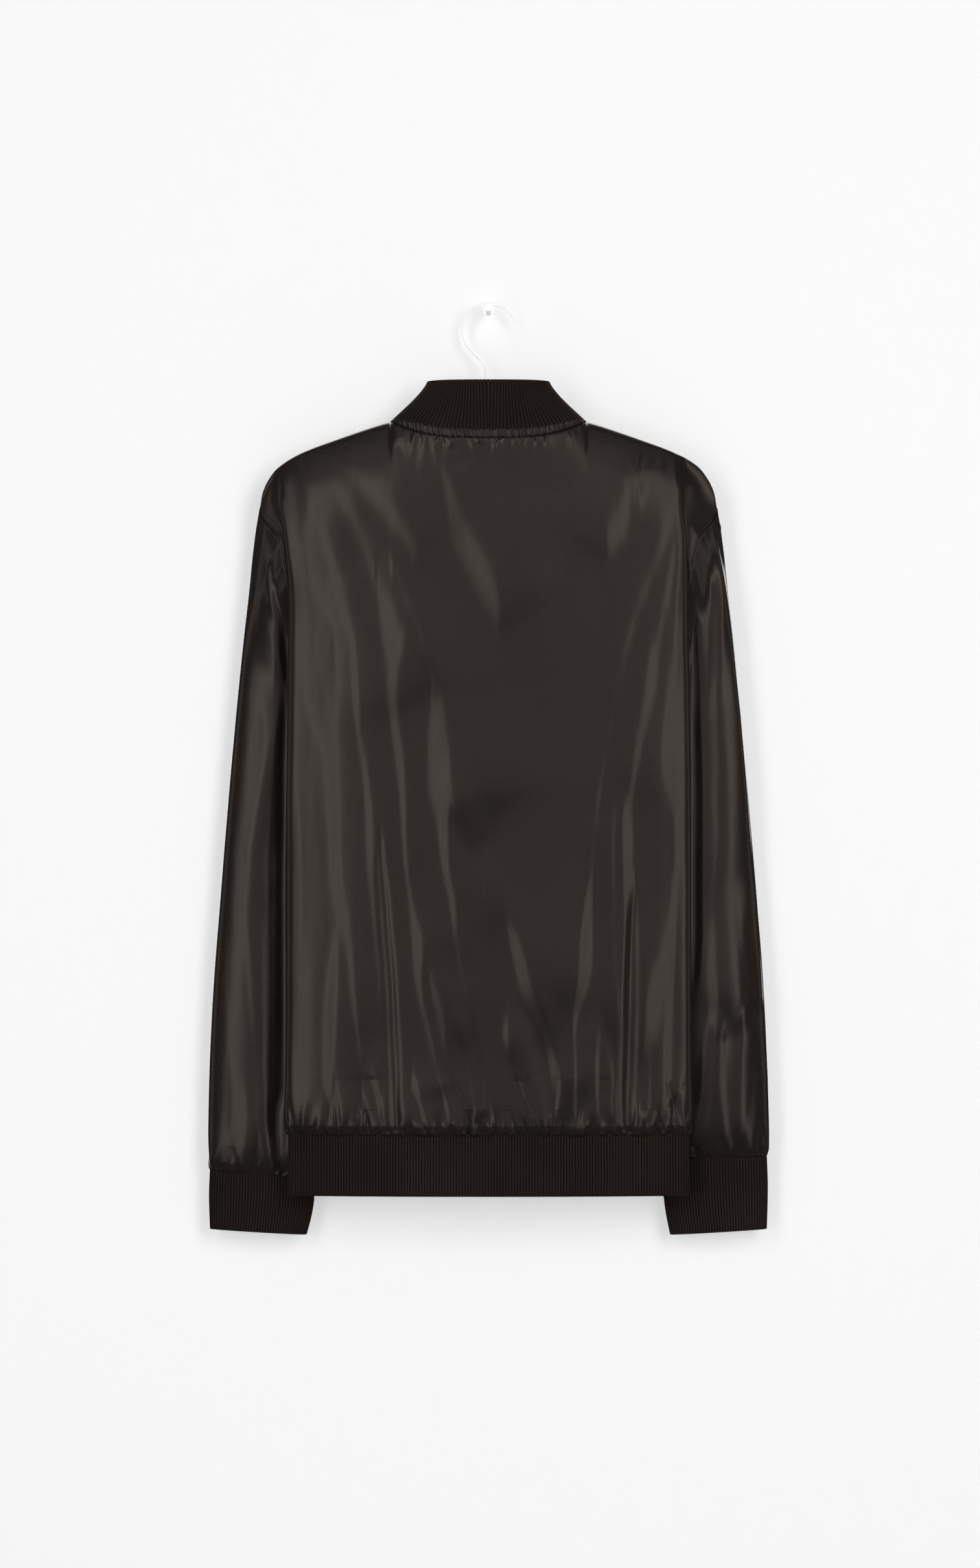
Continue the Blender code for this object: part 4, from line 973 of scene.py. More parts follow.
def sleeve_form(side):
    """The sleeve's surface from the armhole seam to the cuff seam, and the length down to each row."""
    around = np.arange(SLEEVE_COLUMNS) / SLEEVE_COLUMNS
    seam = armhole_seam(side, around)
    plain = oval(side, SLEEVE_RINGS, 0, around)
    rings = []
    count = len(SLEEVE_RINGS["y"])
    for index in range(count):
        shift = smooth((index - SHIFT_RING) / (count - 1 - SHIFT_RING)) * (side == RIGHT)
        ring = shifted_oval(side, SLEEVE_RINGS, index, around, shift)
        if index < len(ARMHOLE_PULL):
            ring = ring + (seam - plain) * ARMHOLE_PULL[index]
        rings.append(ring)
    way = unit(np.roll(seam, -1, 0) - np.roll(seam, 1, 0))
    step = rings[1] - seam
    step = step - way * (step * way).sum(-1, keepdims=True)
    rings[0] = seam + unit(step) * ARMHOLE_GAP
    return through(np.array(rings), SLEEVE_ROWS, SLEEVE_ROW_CROWDING)


def casing_height(x):
    """Height of the gathered neck strip, which tapers to nothing at its ends."""
    return CASING_HEIGHT * (1 - np.minimum(1.0, np.abs(x) / NECK_X) ** CASING_TAPER)


def towards_side(share):
    """0 at the middle of the neck, rising to 1 over the last quarter towards its side."""
    return smooth(share * 4 - 3)


def neck_base(angle):
    """Where the collar is sewn on: angle 0 is the centre back and 180 degrees the centre front."""
    x = NECK_X * np.sin(angle)
    inner_x = (NECK_X - COLLAR_INSET) * np.sin(angle)
    lift = 2 * SEAM_GAP + COLLAR_SIDE_LIFT * towards_side(np.abs(x) / NECK_X)
    behind = np.abs(angle) <= math.pi / 2
    z = np.where(behind, back_neck_z(x) + casing_height(x), front_neck_z(x)) + lift
    y = neck_depth(x, np.where(behind, -BACK_NECK_DEPTH, FRONT_NECK_DEPTH))
    return inner_x, y, z


def collar_form(angle, height):
    """Points of the collar, round from the centre back and up from its seam (height 0) to its fold (1)."""
    base_x, base_y, base_z = neck_base(angle)
    sine, cosine = np.sin(angle), np.cos(angle)
    top_x = COLLAR_TOP_X * np.sign(sine) * np.abs(sine) ** COLLAR_CORNER_X
    depth = np.where(cosine > 0, -COLLAR_TOP_BACK, COLLAR_TOP_FRONT)
    top_y = RIDGE_Y + depth * np.abs(cosine) ** COLLAR_CORNER_Y
    top_z = COLLAR_TOP_Z - np.where(cosine > 0, 0.0, COLLAR_FRONT_DROP * np.abs(cosine) ** COLLAR_FRONT_SLOPE)
    flare = (1 - height) ** COLLAR_FLARE
    x = mix(top_x, base_x, flare)
    at_zip = (np.abs(angle) > math.pi / 2) & (np.abs(x) < COLLAR_END_X)
    x = np.where(at_zip, np.sign(angle) * COLLAR_END_X, x)
    return stack(x, mix(top_y, base_y, flare), mix(base_z, top_z, height))


def hem_line():
    """The body's outline at the hem seam, from the left front edge round the back to the right front edge."""
    bottom = np.array([1.0])
    front = front_form(RIGHT, np.linspace(0, 1, HEM_FRONT_POINTS), bottom)[0, :-1]
    back = back_form(np.linspace(-2, 2, HEM_BACK_POINTS), bottom)[0]
    outline = np.concatenate([front * (-1, 1, 1), back, front[::-1]])
    way = unit(np.gradient(outline, axis=0))
    return outline + stack(-way[:, 1], way[:, 0], 0 * way[:, 0]) * HEM_INSET


# ---------------------------------------------------------------- making objects


def linked(name, data):
    """An object in the scene."""
    obj = bpy.data.objects.new(name, data)
    bpy.context.scene.collection.objects.link(obj)
    return obj


def grid_object(name, points, closed=False, flip=False, across=None):
    """A surface through a grid of points, with its lengths across and along in metres as UVs."""
    rows, columns = points.shape[:2]
    steps = np.arange(columns if closed else columns - 1)
    row, column = np.meshgrid(np.arange(rows - 1), steps, indexing="ij")
    after = (column + 1) % columns
    corners = [(row, column), (row + 1, column), (row + 1, after), (row, after)]
    faces = np.stack([r * columns + c for r, c in corners], -1).reshape(-1, 4)
    ring = np.concatenate([points, points[:, :1]], 1) if closed else points
    across = arc(ring[rows // 2]) if across is None else across
    along = arc(points[:, columns // 2])
    ends = [(row, column), (row + 1, column), (row + 1, column + 1), (row, column + 1)]
    uv = np.stack([np.stack([across[c], along[r]], -1) for r, c in ends], 2).reshape(-1, 4, 2)
    if flip:
        faces, uv = faces[:, ::-1], uv[:, ::-1]
    mesh = bpy.data.meshes.new(name)
    mesh.from_pydata(points.reshape(-1, 3).tolist(), [], faces.tolist())
    mesh.uv_layers.new(name="Cloth").data.foreach_set("uv", uv.astype(np.float32).ravel())
    mesh.shade_smooth()
    return linked(name, mesh)


def turned_under(points, outward, sides=False):
    """The cloth with its cut edges turned in behind it, at top and bottom, and at the sides too."""
    steps, last = EDGE_STEPS, len(points) - 1
    parts, ways = [], []

    def turn_in(index, depth):
        parts.append(points[index : index + 1] - outward[index : index + 1] * depth)
        ways.append(outward[index : index + 1])

    turn_in(steps, EDGE_TURN)
    turn_in(0, SHALLOW_TURN * EDGE_TURN)
    parts.append(points)
    ways.append(outward)
    turn_in(last, SHALLOW_TURN * EDGE_TURN)
    turn_in(last - steps, EDGE_TURN)
    turned, ways = np.concatenate(parts), np.concatenate(ways)
    if sides:
        turned = turned_under(turned.swapaxes(0, 1), ways.swapaxes(0, 1)).swapaxes(0, 1)
    return turned


def dress(obj, finish, slot, *nodes):
    """Gives a piece its finish, lets it move with the jacket and stand for its plain nodes."""
    obj.data.materials.clear()
    obj.data.materials.append(finish)
    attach(obj, JACKET)
    if nodes:
        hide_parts(*nodes)
    return obj


def paint_node(name, finish):
    """Gives a node that stays as it is its finish."""
    for place in NODES[name].material_slots:
        place.material = finish


# ---------------------------------------------------------------- finishes


# Numbers that more than one finish shares.
WHITE = (1.0, 1.0, 1.0, 1.0)
WARM_SHINE = (1.0, 0.845, 0.755, 1.0)
CLOTH_SHEEN = 0.02
CLOTH_SHEEN_ROUGHNESS = 0.35
ROUGHNESS_SPREAD = 0.03
FULL_TURN = 6.2832
SLUBS_LONG = (1500.0, 60.0, 1.0)
SLUBS_SHORT = (70.0, 1300.0, 1.0)
SLUB_RANGE = (0.6, 1.4)
SLUB_SHADES = (0.94, 1.06)


def add(tree, kind, links=(), **values):
    """A node with its settings, its sockets' values and its links."""
    node = tree.nodes.new(kind)
    for name, value in values.items():
        if name.startswith("set_"):
            setattr(node, name[4:], value)
        else:
            node.inputs[name.replace("_", " ")].default_value = value
    for source, target in links:
        tree.links.new(source, node.inputs[target])
    return node


def feed(tree, node, terms):
    """Gives a node's first inputs their terms, each a number or another node's output."""
    for target, term in zip(node.inputs, terms):
        if isinstance(term, bpy.types.NodeSocket):
            tree.links.new(term, target)
        else:
            target.default_value = term
    return node.outputs[0]


def calculate(tree, operation, *terms):
    """The result of a sum on its terms."""
    return feed(tree, add(tree, "ShaderNodeMath", set_operation=operation), terms)


def span(tree, *terms):
    """A value moved from one range to another: the value, the old low and high, the new low and high."""
    return feed(tree, add(tree, "ShaderNodeMapRange"), terms)


def scaled(tree, vector, factor):
    """A vector or colour times a factor."""
    node = add(tree, "ShaderNodeVectorMath", [(vector, 0), (factor, "Scale")], set_operation="SCALE")
    return node.outputs[0]


def noise(tree, place, detail, scale=1.0):
    """A noise at a place, as a node."""
    return add(tree, "ShaderNodeTexNoise", [(place, "Vector")], Scale=scale, Detail=detail)


def new_group(name, inputs, outputs):
    """An empty node group with its named inputs and outputs."""
    tree = bpy.data.node_groups.new(name, "ShaderNodeTree")
    for label, kind, value in inputs:
        tree.interface.new_socket(label, in_out="INPUT", socket_type=kind).default_value = value
    for label, kind in outputs:
        tree.interface.new_socket(label, in_out="OUTPUT", socket_type=kind)
    return tree, tree.nodes.new("NodeGroupInput").outputs, tree.nodes.new("NodeGroupOutput").inputs


def shaded_cloth_group():
    """Slow changes of shade, fine slubs and painted shade in the rib dips, as a colour, with the weave's
    height.
    """
    found = bpy.data.node_groups.get("cloth_weave")
    if found:
        return found
    tree, given, out = new_group(
        "cloth_weave",
        [
            ("Colour", "NodeSocketColor", (0.03, 0.03, 0.03, 1.0)),
            ("Thread Pitch", "NodeSocketFloat", 0.0004),
            ("Shade Change", "NodeSocketFloat", 0.1),
            ("Slub", "NodeSocketFloat", 0.1),
            ("Rib Pitch", "NodeSocketFloat", 0.0026),
            ("Rib Shade", "NodeSocketFloat", 0.0),
        ],
        [("Colour", "NodeSocketColor"), ("Height", "NodeSocketFloat"), ("Slub Mask", "NodeSocketFloat")],
    )
    place = add(tree, "ShaderNodeTexCoord").outputs
    cloth = place["UV"]
    long_way = add(tree, "ShaderNodeMapping", [(cloth, "Vector")], Scale=SLUBS_LONG)
    short_way = add(tree, "ShaderNodeMapping", [(cloth, "Vector")], Scale=SLUBS_SHORT)
    slubs = [noise(tree, way.outputs[0], 2.0).outputs["Fac"] for way in (long_way, short_way)]
    both = calculate(tree, "ADD", *slubs)
    spread = scaled(tree, cloth, calculate(tree, "DIVIDE", FULL_TURN, given["Thread Pitch"]))
    parts = add(tree, "ShaderNodeSeparateXYZ", [(spread, 0)]).outputs
    threads = [calculate(tree, "SINE", parts[axis]) for axis in ("X", "Y")]
    weave = calculate(tree, "MULTIPLY", *threads)
    height = calculate(tree, "MULTIPLY_ADD", both, given["Slub"], weave)
    slow = noise(tree, place["Object"], 3.0, 9.0).outputs["Fac"]
    shade = span(tree, slow, 0.3, 0.7, -1.0, 1.0)
    deep = calculate(tree, "MULTIPLY_ADD", shade, given["Shade Change"], 1.0)
    even = calculate(tree, "MULTIPLY", deep, span(tree, both, *SLUB_RANGE, *SLUB_SHADES))
    # Painted shade: the colour darkens in the dips between knit ribs, where shade falls.
    across = add(tree, "ShaderNodeSeparateXYZ", [(cloth, 0)]).outputs["X"]
    ribs = calculate(tree, "MULTIPLY", calculate(tree, "DIVIDE", across, given["Rib Pitch"]), math.pi)
    crest = calculate(tree, "ABSOLUTE", calculate(tree, "SINE", ribs))
    painted_dip_shade = calculate(tree, "MULTIPLY", calculate(tree, "SUBTRACT", 1.0, crest), given["Rib Shade"])
    total = calculate(tree, "MULTIPLY", even, calculate(tree, "SUBTRACT", 1.0, painted_dip_shade))
    tree.links.new(scaled(tree, given["Colour"], total), out["Colour"])
    tree.links.new(height, out["Height"])
    tree.links.new(both, out["Slub Mask"])
    return tree


def speckle_group():
    """Fine grain and handling marks of hard coated or metal surfaces."""
    found = bpy.data.node_groups.get("fine_grain")
    if found:
        return found
    tree, given, out = new_group(
        "fine_grain",
        [
            ("Colour", "NodeSocketColor", (0.8, 0.8, 0.8, 1.0)),
            ("Grain Scale", "NodeSocketFloat", 900.0),
            ("Roughness", "NodeSocketFloat", 0.4),
            ("Marks", "NodeSocketFloat", 0.1),
        ],
        [("Colour", "NodeSocketColor"), ("Roughness", "NodeSocketFloat"), ("Height", "NodeSocketFloat")],
    )
    place = add(tree, "ShaderNodeTexCoord").outputs["Object"]
    grain = noise(tree, place, 2.0)
    tree.links.new(given["Grain Scale"], grain.inputs["Scale"])
    marks = noise(tree, place, 4.0, 60.0).outputs["Fac"]
    tone = span(tree, marks, 0.2, 0.8, 0.97, 1.02)
    tree.links.new(scaled(tree, given["Colour"], tone), out["Colour"])
    rough = calculate(tree, "MULTIPLY_ADD", marks, given["Marks"], given["Roughness"])
    tree.links.new(rough, out["Roughness"])
    tree.links.new(grain.outputs["Fac"], out["Height"])
    return tree


def new_material(name, group, **values):
    """A material with a node group in it, the group's inputs set."""
    made = bpy.data.materials.new(name)
    made.use_nodes = True
    tree = made.node_tree
    effect = add(tree, "ShaderNodeGroup", set_node_tree=group, **values)
    return made, tree, tree.nodes["Principled BSDF"], effect.outputs


def relief(tree, height, strength, distance, shader):
    """Lets a height stand out on a shader."""
    bump = add(tree, "ShaderNodeBump", [(height, "Height")], Strength=strength, Distance=distance)
    tree.links.new(bump.outputs[0], shader.inputs["Normal"])


def cloth_material(name, colour, roughness, pitch, shade, slub, depth, specular, rib_shade=0.0):
    """Woven or knit cloth, with its thread pitch, changes of shade, slubs, relief and painted shade in the
    rib dips.
    """
    found = bpy.data.materials.get(name)
    if found:
        return found
    made, tree, shader, weave = new_material(
        name,
        shaded_cloth_group(),
        Colour=(*colour, 1.0),
        Thread_Pitch=pitch,
        Shade_Change=shade,
        Slub=slub,
        Rib_Pitch=bpy.context.scene.jacket_cloth.rib_pitch,
        Rib_Shade=rib_shade,
    )
    ends = roughness - ROUGHNESS_SPREAD, roughness + ROUGHNESS_SPREAD
    tree.links.new(weave["Colour"], shader.inputs["Base Color"])
    tree.links.new(span(tree, weave["Slub Mask"], *SLUB_RANGE, *ends), shader.inputs["Roughness"])
    relief(tree, weave["Height"], 1.0, depth, shader)
    shader.inputs["Specular IOR Level"].default_value = specular
    shader.inputs["Specular Tint"].default_value = WARM_SHINE
    shader.inputs["Sheen Weight"].default_value = CLOTH_SHEEN
    shader.inputs["Sheen Roughness"].default_value = CLOTH_SHEEN_ROUGHNESS
    return made


def hard_material(name, colour, scale, roughness, marks, metallic, strength, glow=0.0):
    """A hard coated or metal surface."""
    found = bpy.data.materials.get(name)
    if found:
        return found
    made, tree, shader, grain = new_material(
        name, speckle_group(), Colour=(*colour, 1.0), Grain_Scale=scale, Roughness=roughness, Marks=marks
    )
    tree.links.new(grain["Colour"], shader.inputs["Base Color"])
    tree.links.new(grain["Roughness"], shader.inputs["Roughness"])
    relief(tree, grain["Height"], strength, 0.1 * MM, shader)
    shader.inputs["Metallic"].default_value = metallic
    # A glow is painted light: the surface shines of itself, brighter than the lamps light it.
    if glow:
        shader.inputs["Emission Color"].default_value = WHITE
        shader.inputs["Emission Strength"].default_value = glow
    return made


def satin():
    given = bpy.context.scene.jacket_cloth
    return cloth_material(
        "dark_satin",
        given.satin_colour,
        given.satin_roughness,
        pitch=0.5 * MM,
        shade=0.10,
        slub=1.5,
        depth=0.003 * MM,
        specular=0.265,
    )


def rib_knit():
    given = bpy.context.scene.jacket_cloth
    return cloth_material(
        "dark_rib_knit",
        given.rib_colour,
        roughness=0.65,
        pitch=1.1 * MM,
        shade=0.30,
        slub=0.6,
        depth=0.1 * MM,
        specular=0.10,
        # The rib dips get painted shade in their colour.
        rib_shade=1.0,
    )


def sewing_thread():
    given = bpy.context.scene.jacket_cloth
    return cloth_material(
        "sewing_thread",
        given.thread_colour,
        roughness=0.5,
        pitch=0.3 * MM,
        shade=0.05,
        slub=0.3,
        depth=0.02 * MM,
        specular=0.15,
    )


def zip_tape():
    given = bpy.context.scene.jacket_cloth
    return cloth_material(
        "woven_tape",
        given.rib_colour,
        roughness=0.75,
        pitch=0.9 * MM,
        shade=0.08,
        slub=0.3,
        depth=0.06 * MM,
        specular=0.1,
    )


def dark_metal():
    colour = bpy.context.scene.jacket_hardware.metal_colour
    return hard_material(
        "dark_metal", colour, scale=2600.0, roughness=0.26, marks=0.2, metallic=1.0, strength=0.15
    )


def white_coat():
    given = bpy.context.scene.jacket_hardware
    return hard_material(
        "white_coat",
        given.coat_colour,
        scale=1400.0,
        roughness=0.28,
        marks=0.1,
        metallic=0.0,
        strength=0.12,
        glow=given.coat_painted_glow,
    )


# ---------------------------------------------------------------- settings


class JacketCloth(bpy.types.PropertyGroup):
    """Sizes and colours of the cloth."""

    satin_colour: FloatVectorProperty(
        name="Satin",
        description="Colour of the satin",
        subtype="COLOR",
        size=3,
        default=(0.0130, 0.0105, 0.0091),
    )
    rib_colour: FloatVectorProperty(
        name="Ribs",
        description="Colour of the knit ribs",
        subtype="COLOR",
        size=3,
        default=(0.0215, 0.0160, 0.0134),
    )
    thread_colour: FloatVectorProperty(
        name="Thread",
        description="Colour of the stitches",
        subtype="COLOR",
        size=3,
        default=(0.02, 0.017, 0.015),
    )
    satin_roughness: FloatProperty(
        name="Satin roughness",
        description="How far the satin spreads its shine",
        default=0.265,
        min=0.1,
        max=0.9,
    )
    crease_share: FloatProperty(
        name="Creases", description="Share of the creases' full height", default=1.0, min=0.0, max=2.0
    )
    gather_height: FloatProperty(
        name="Gathers", description="Height of the pleats at hem and cuffs", default=1.5 * MM, unit="LENGTH"
    )
    rib_pitch: FloatProperty(
        name="Rib pitch",
        description="Distance from rib to rib on hem and cuffs",
        default=2.6 * MM,
        unit="LENGTH",
    )
    rib_height: FloatProperty(
        name="Rib height", description="Height of the knit ribs", default=0.5 * MM, unit="LENGTH"
    )
    stitch_length: FloatProperty(
        name="Stitch", description="Length of a stitch", default=2.6 * MM, unit="LENGTH"
    )


class JacketHardware(bpy.types.PropertyGroup):
    """Sizes and colours of the zip, the hanger and the peg."""

    metal_colour: FloatVectorProperty(
        name="Zip metal",
        description="Colour of the zip's metal",
        subtype="COLOR",
        size=3,
        default=(0.13, 0.125, 0.12),
    )
    coat_colour: FloatVectorProperty(
        name="White coat",
        description="Colour of hanger and peg",
        subtype="COLOR",
        size=3,
        default=(0.86, 0.86, 0.85),
    )
    # Painted light on hanger and peg: the white coat glows of itself.
    coat_painted_glow: FloatProperty(
        name="Coat glow", description="How much the white coat shines of itself", default=0.3
    )
    tooth_pitch: FloatProperty(
        name="Tooth pitch",
        description="Distance from tooth to tooth of one tape",
        default=2.6 * MM,
        unit="LENGTH",
    )


class JacketStudio(bpy.types.PropertyGroup):
    """The studio round the jacket."""

    wall_colour: FloatVectorProperty(
        name="Wall",
        description="Colour of wall and floor",
        subtype="COLOR",
        size=3,
        default=(0.62, 0.62, 0.62),
    )
    wall_glow: FloatProperty(
        name="Wall glow", description="How much the wall shines of itself", default=0.475
    )
    key_power: FloatProperty(name="Key light", description="Power of the light on the right", default=52.0)
    fill_power: FloatProperty(name="Fill light", description="Power of the light on the left", default=33.0)
    front_power: FloatProperty(
        name="Front light", description="Power of the wide soft front light", default=60.0
    )
    behind_power: FloatProperty(
        name="Behind lights", description="Power of each light behind the wall", default=80.0
    )
    surround: FloatProperty(name="Surround", description="Brightness of the room's light", default=0.12)


# ---------------------------------------------------------------- cloth surfaces


def uneven(x, z, seed):
    """The satin's own small unevenness, longer down than across."""
    waves = enumerate(UNEVEN_WAVES)
    return sum(height * drift(x, z, *cell, seed + index) for index, (height, *cell) in waves) * MM


def seam_pleats(along, drop, seed):
    """Long and short pleats with keen pinches between them, where satin is gathered into a rib."""
    tall = bpy.context.scene.jacket_cloth.gather_height / MM
    return sum(gathers(along, drop, kind, seed + index, tall) for index, kind in enumerate(SEAM_PLEATS))


def blouse_out(drop, kind):
    """How far satin stands out above a gathered seam."""
    fading = np.exp(-((np.maximum(drop - kind.full, 0) / kind.fade) ** 2))
    return kind.height * smooth(drop / kind.start) * fading


def seam_waves(along, cell, seed):
    """Soft uneven waves between 0 and 1 along a seam."""
    return 0.5 + 0.5 * drift(along, 0 * along, cell, SEAM_DRIFT_CELL, seed)


def hem_shape(along, drop, seed, blouse=BACK_BLOUSE):
    """How the satin blouses above the hem, gathers and tucks in at the seam."""
    height = mix(*HEM_TUCK_HEIGHTS, seam_waves(along, 3.2, seed + 5))
    tuck = -HEM_TUCK * (1 - smooth(drop / height))
    pinch = gathers(along, drop, HEM_PINCHES, seed + 6)
    return blouse_out(drop, blouse) + seam_pleats(along, drop, seed) + pinch + tuck


def sag(along, drop, seed):
    """How far the gathered satin hangs down over the seam."""
    return mix(*HEM_SAG, seam_waves(along, 4.5, seed)) * (1 - smooth(drop / HEM_SAG_HEIGHT))


def eased(form, columns, reach=EASE_COLUMNS, first=0):
    """A grid of points made smooth across where two parts of its form meet, below its first rows."""
    count = form.shape[1]
    rows = smooth(np.arange(len(form)) / first)[:, None, None] if first else 1.0
    for column in columns:
        share = np.exp(-(((np.arange(count) - column) / reach) ** 2))[None, :, None] * rows
        share[:, 0] = share[:, -1] = 0
        for _ in range(EASE_TIMES):
            blurred = form.copy()
            blurred[:, 1:-1] = (form[:, :-2] + 2 * form[:, 1:-1] + form[:, 2:]) / 4
            form = mix(form, blurred, share)
    return form


def back_cloth():
    """The back's points and outward directions."""
    given = bpy.context.scene.jacket_cloth
    flat, wrap = np.linspace(0, 1, FLAT_COLUMNS + 1)[1:], np.linspace(1, 2, WRAP_COLUMNS + 1)[1:]
    half = np.concatenate([flat, wrap])
    across = np.concatenate([-half[::-1], [0.0], half])
    form = back_form(across, panel_levels(*BACK_ROWS))
    form = eased(form, (WRAP_COLUMNS, WRAP_COLUMNS + 2 * FLAT_COLUMNS))
    middle, neck = WRAP_COLUMNS + FLAT_COLUMNS, round(FLAT_COLUMNS * NECK_SHARE)
    form = eased(form, (middle - neck, middle + neck), NECK_EASE_COLUMNS, first=NECK_EASE_ROWS)
    outward = facing(form)
    x, z = form[..., 0], form[..., 2]
    drop = form[0, :, 2][None, :] - z
    along, left = arc(form[-1])[None, :], z - HEM_SEAM_Z
    edge = smooth((2 - np.abs(across)) / BACK_CALM_SIDE)[None, :]
    calm = smooth(drop / CALM_TOP) * smooth(left / BACK_CALM_HEM) * edge
    calm = calm * smooth(-outward[..., 1] / BACK_CALM_TURN + BACK_CALM_START)
    from_centre = np.hypot((x - CENTRE_X) / CENTRE_HALF_WIDTH, (z - CENTRE_Z) / CENTRE_HALF_HEIGHT)
    centre = smooth(CENTRE_SPREAD - from_centre)
    lift = slopes(BACK_CREASES, x, z, outward[..., 0]) * given.crease_share * calm
    lift += UNEVEN_SHARE * uneven(x, z, BACK_SEED) * (1 - CENTRE_CALM * centre) * calm
    lift += CENTRE_WAVES * drift(x, z, *CENTRE_CELL, BACK_WAVES_SEED) * centre * calm
    lift += hem_shape(along, left, BACK_HEM_SEED)
    under_neck = smooth((PUCKER_END_X - np.abs(x)) / PUCKER_BLEND)
    puckers = sum(gathers(x, drop, kind, NECK_SEED + index) for index, kind in enumerate(NECK_PUCKERS))
    lift += puckers * under_neck * smooth(drop / PUCKER_START)
    points = form + outward * lift[..., None]
    points[..., 2] -= sag(along, left, BACK_SAG_SEED)
    return points, outward


def front_cloth(side):
    """A front's points and outward directions."""
    given = bpy.context.scene.jacket_cloth
    share = np.linspace(0, 1, FRONT_COLUMNS)
    form = front_form(side, share, panel_levels(*FRONT_ROWS))
    outward = facing(form, flip=side == RIGHT)
    x, z = form[..., 0] * side, form[..., 2]
    drop = form[0, :, 2][None, :] - z
    at_zip = smooth(share / FRONT_EDGE_SHARE)[None, :]
    calm = smooth(drop / CALM_TOP) * smooth((z - HEM_SEAM_Z) / FRONT_CALM_HEM)
    calm = calm * smooth((1 - share) / FRONT_CALM_SIDE)[None, :] * smooth(share / FRONT_CALM_ZIP)[None, :]
    under_sleeve = smooth((x - UNDER_SLEEVE_X) / UNDER_SLEEVE_BLEND_X)
    under_sleeve = under_sleeve * smooth((UNDER_SLEEVE_Z - z) / UNDER_SLEEVE_BLEND_Z)
    creases = slopes(FRONT_CREASES[side], x, z, outward[..., 0] * side)
    lift = (creases * given.crease_share + UNEVEN_SHARE * uneven(x, z, FRONT_SEED + side)) * calm
    along, left = arc(form[-1])[None, :], z - HEM_SEAM_Z
    shape = hem_shape(along, left, FRONT_HEM_SEED + 10 * side, FRONT_BLOUSE)
    lift = (lift + shape * at_zip) * (1 - UNDER_SLEEVE_LOSS * under_sleeve)
    lift += gathers(x, drop, FRONT_PUCKERS, FRONT_PUCKER_SEED + side) * smooth(drop / PUCKER_START) * at_zip
    points = form + outward * lift[..., None]
    at_shoulder = np.minimum(share / FRONT_NECK_SHARE, 1.0)[None, :] ** SHOULDER_TUCK_CURVE
    tuck = at_shoulder * (1 - smooth(drop / SHOULDER_TUCK_HEIGHT))
    points[..., 1] -= SHOULDER_TUCK_BACK * tuck
    points[..., 2] -= SHOULDER_TUCK_DOWN * tuck
    points[..., 2] -= sag(along, left, FRONT_SAG_SEED + side)
    return points, outward


def sleeve_cloth(side):
    """A sleeve's points and outward directions."""
    given = bpy.context.scene.jacket_cloth
    form, down = sleeve_form(side)
    outward = facing(form, closed=True, flip=side == RIGHT)
    x, y, z = form[..., 0], form[..., 1], form[..., 2]
    room = smooth((SLEEVE_MIDDLE_Y - y) / SLEEVE_MIDDLE_BLEND + 0.5)
    seen = slopes(SLEEVE_CREASES[side], x, z, outward[..., 0])
    hidden = slopes(SLEEVE_CREASES[-side], -x, z, -outward[..., 0])
    around = arc(closed_line(form[-1]))[:-1]
    left = (down[-1] - down)[:, None]
    calm = smooth(down / SLEEVE_CALM_TOP)[:, None] * smooth(left / SLEEVE_CALM_CUFF)
    facing_out = smooth((np.abs(outward[..., 1]) - SLEEVE_FLAT_FROM) / SLEEVE_FLAT_BLEND)
    creases = mix(hidden, seen, room) * facing_out
    own = UNEVEN_SHARE * uneven(x, z + y, SLEEVE_SEED + side)
    lift = (creases * given.crease_share + own) * calm
    pleats = seam_pleats(around[None, :], left, CUFF_PLEAT_SEED + 10 * side)
    grown = mix(CUFF_PLEAT_SHARE, 1.0, smooth(left / CUFF_PLEAT_START))
    lift += blouse_out(left, SLEEVE_BLOUSE) + pleats * grown
    lift -= CUFF_TUCK * (1 - smooth(left / CUFF_TUCK_HEIGHT))
    armhole = arc(closed_line(form[0]))[:-1]
    lift += gathers(armhole[None, :], down[:, None], ARMHOLE_PLEATS, ARMHOLE_SEED + side)
    beside_body = smooth((BESIDE_BODY_X - np.abs(x)) / BESIDE_BODY_BLEND) * room
    lift = lift * (1 - BESIDE_BODY_LOSS * beside_body)
    valley = smooth((VALLEY_X - np.abs(x)) / VALLEY_BLEND_X) * room
    valley = valley * smooth((z - VALLEY_FOOT_Z) / VALLEY_FOOT_BLEND)
    lift -= VALLEY_DEPTH[side] * valley * smooth((VALLEY_TOP_Z - z) / VALLEY_TOP_BLEND)
    points = form + outward * lift[..., None]
    points[..., 2] -= sag(around[None, :], left, CUFF_SAG_SEED + side)
    return points, outward


def even_around(line, count, closed=False):
    """Shares along a line of points at which count pieces of it are equally long."""
    where = arc(closed_line(line) if closed else line)
    goals = np.linspace(0, where[-1], count + 1)[: count if closed else count + 1]
    return np.interp(goals, where, np.linspace(0, 1, len(where)))


def rib_wave(count):
    """Height of the ribs across count of them: rounded, with a narrow dip between."""
    phase = (np.arange(count * RIB_POINTS + 1) % RIB_POINTS) / RIB_POINTS
    return np.sin(math.pi * phase) ** RIB_CREST


def rib_lengths(count):
    """Where each column of a band of so many ribs lies along the cloth, one rib pitch from dip to dip."""
    return np.arange(count * RIB_POINTS + 1) / RIB_POINTS * bpy.context.scene.jacket_cloth.rib_pitch


def from_ends(count):
    """How many points each of count points is from the nearer end of its line."""
    return np.minimum(np.arange(count), np.arange(count)[::-1])


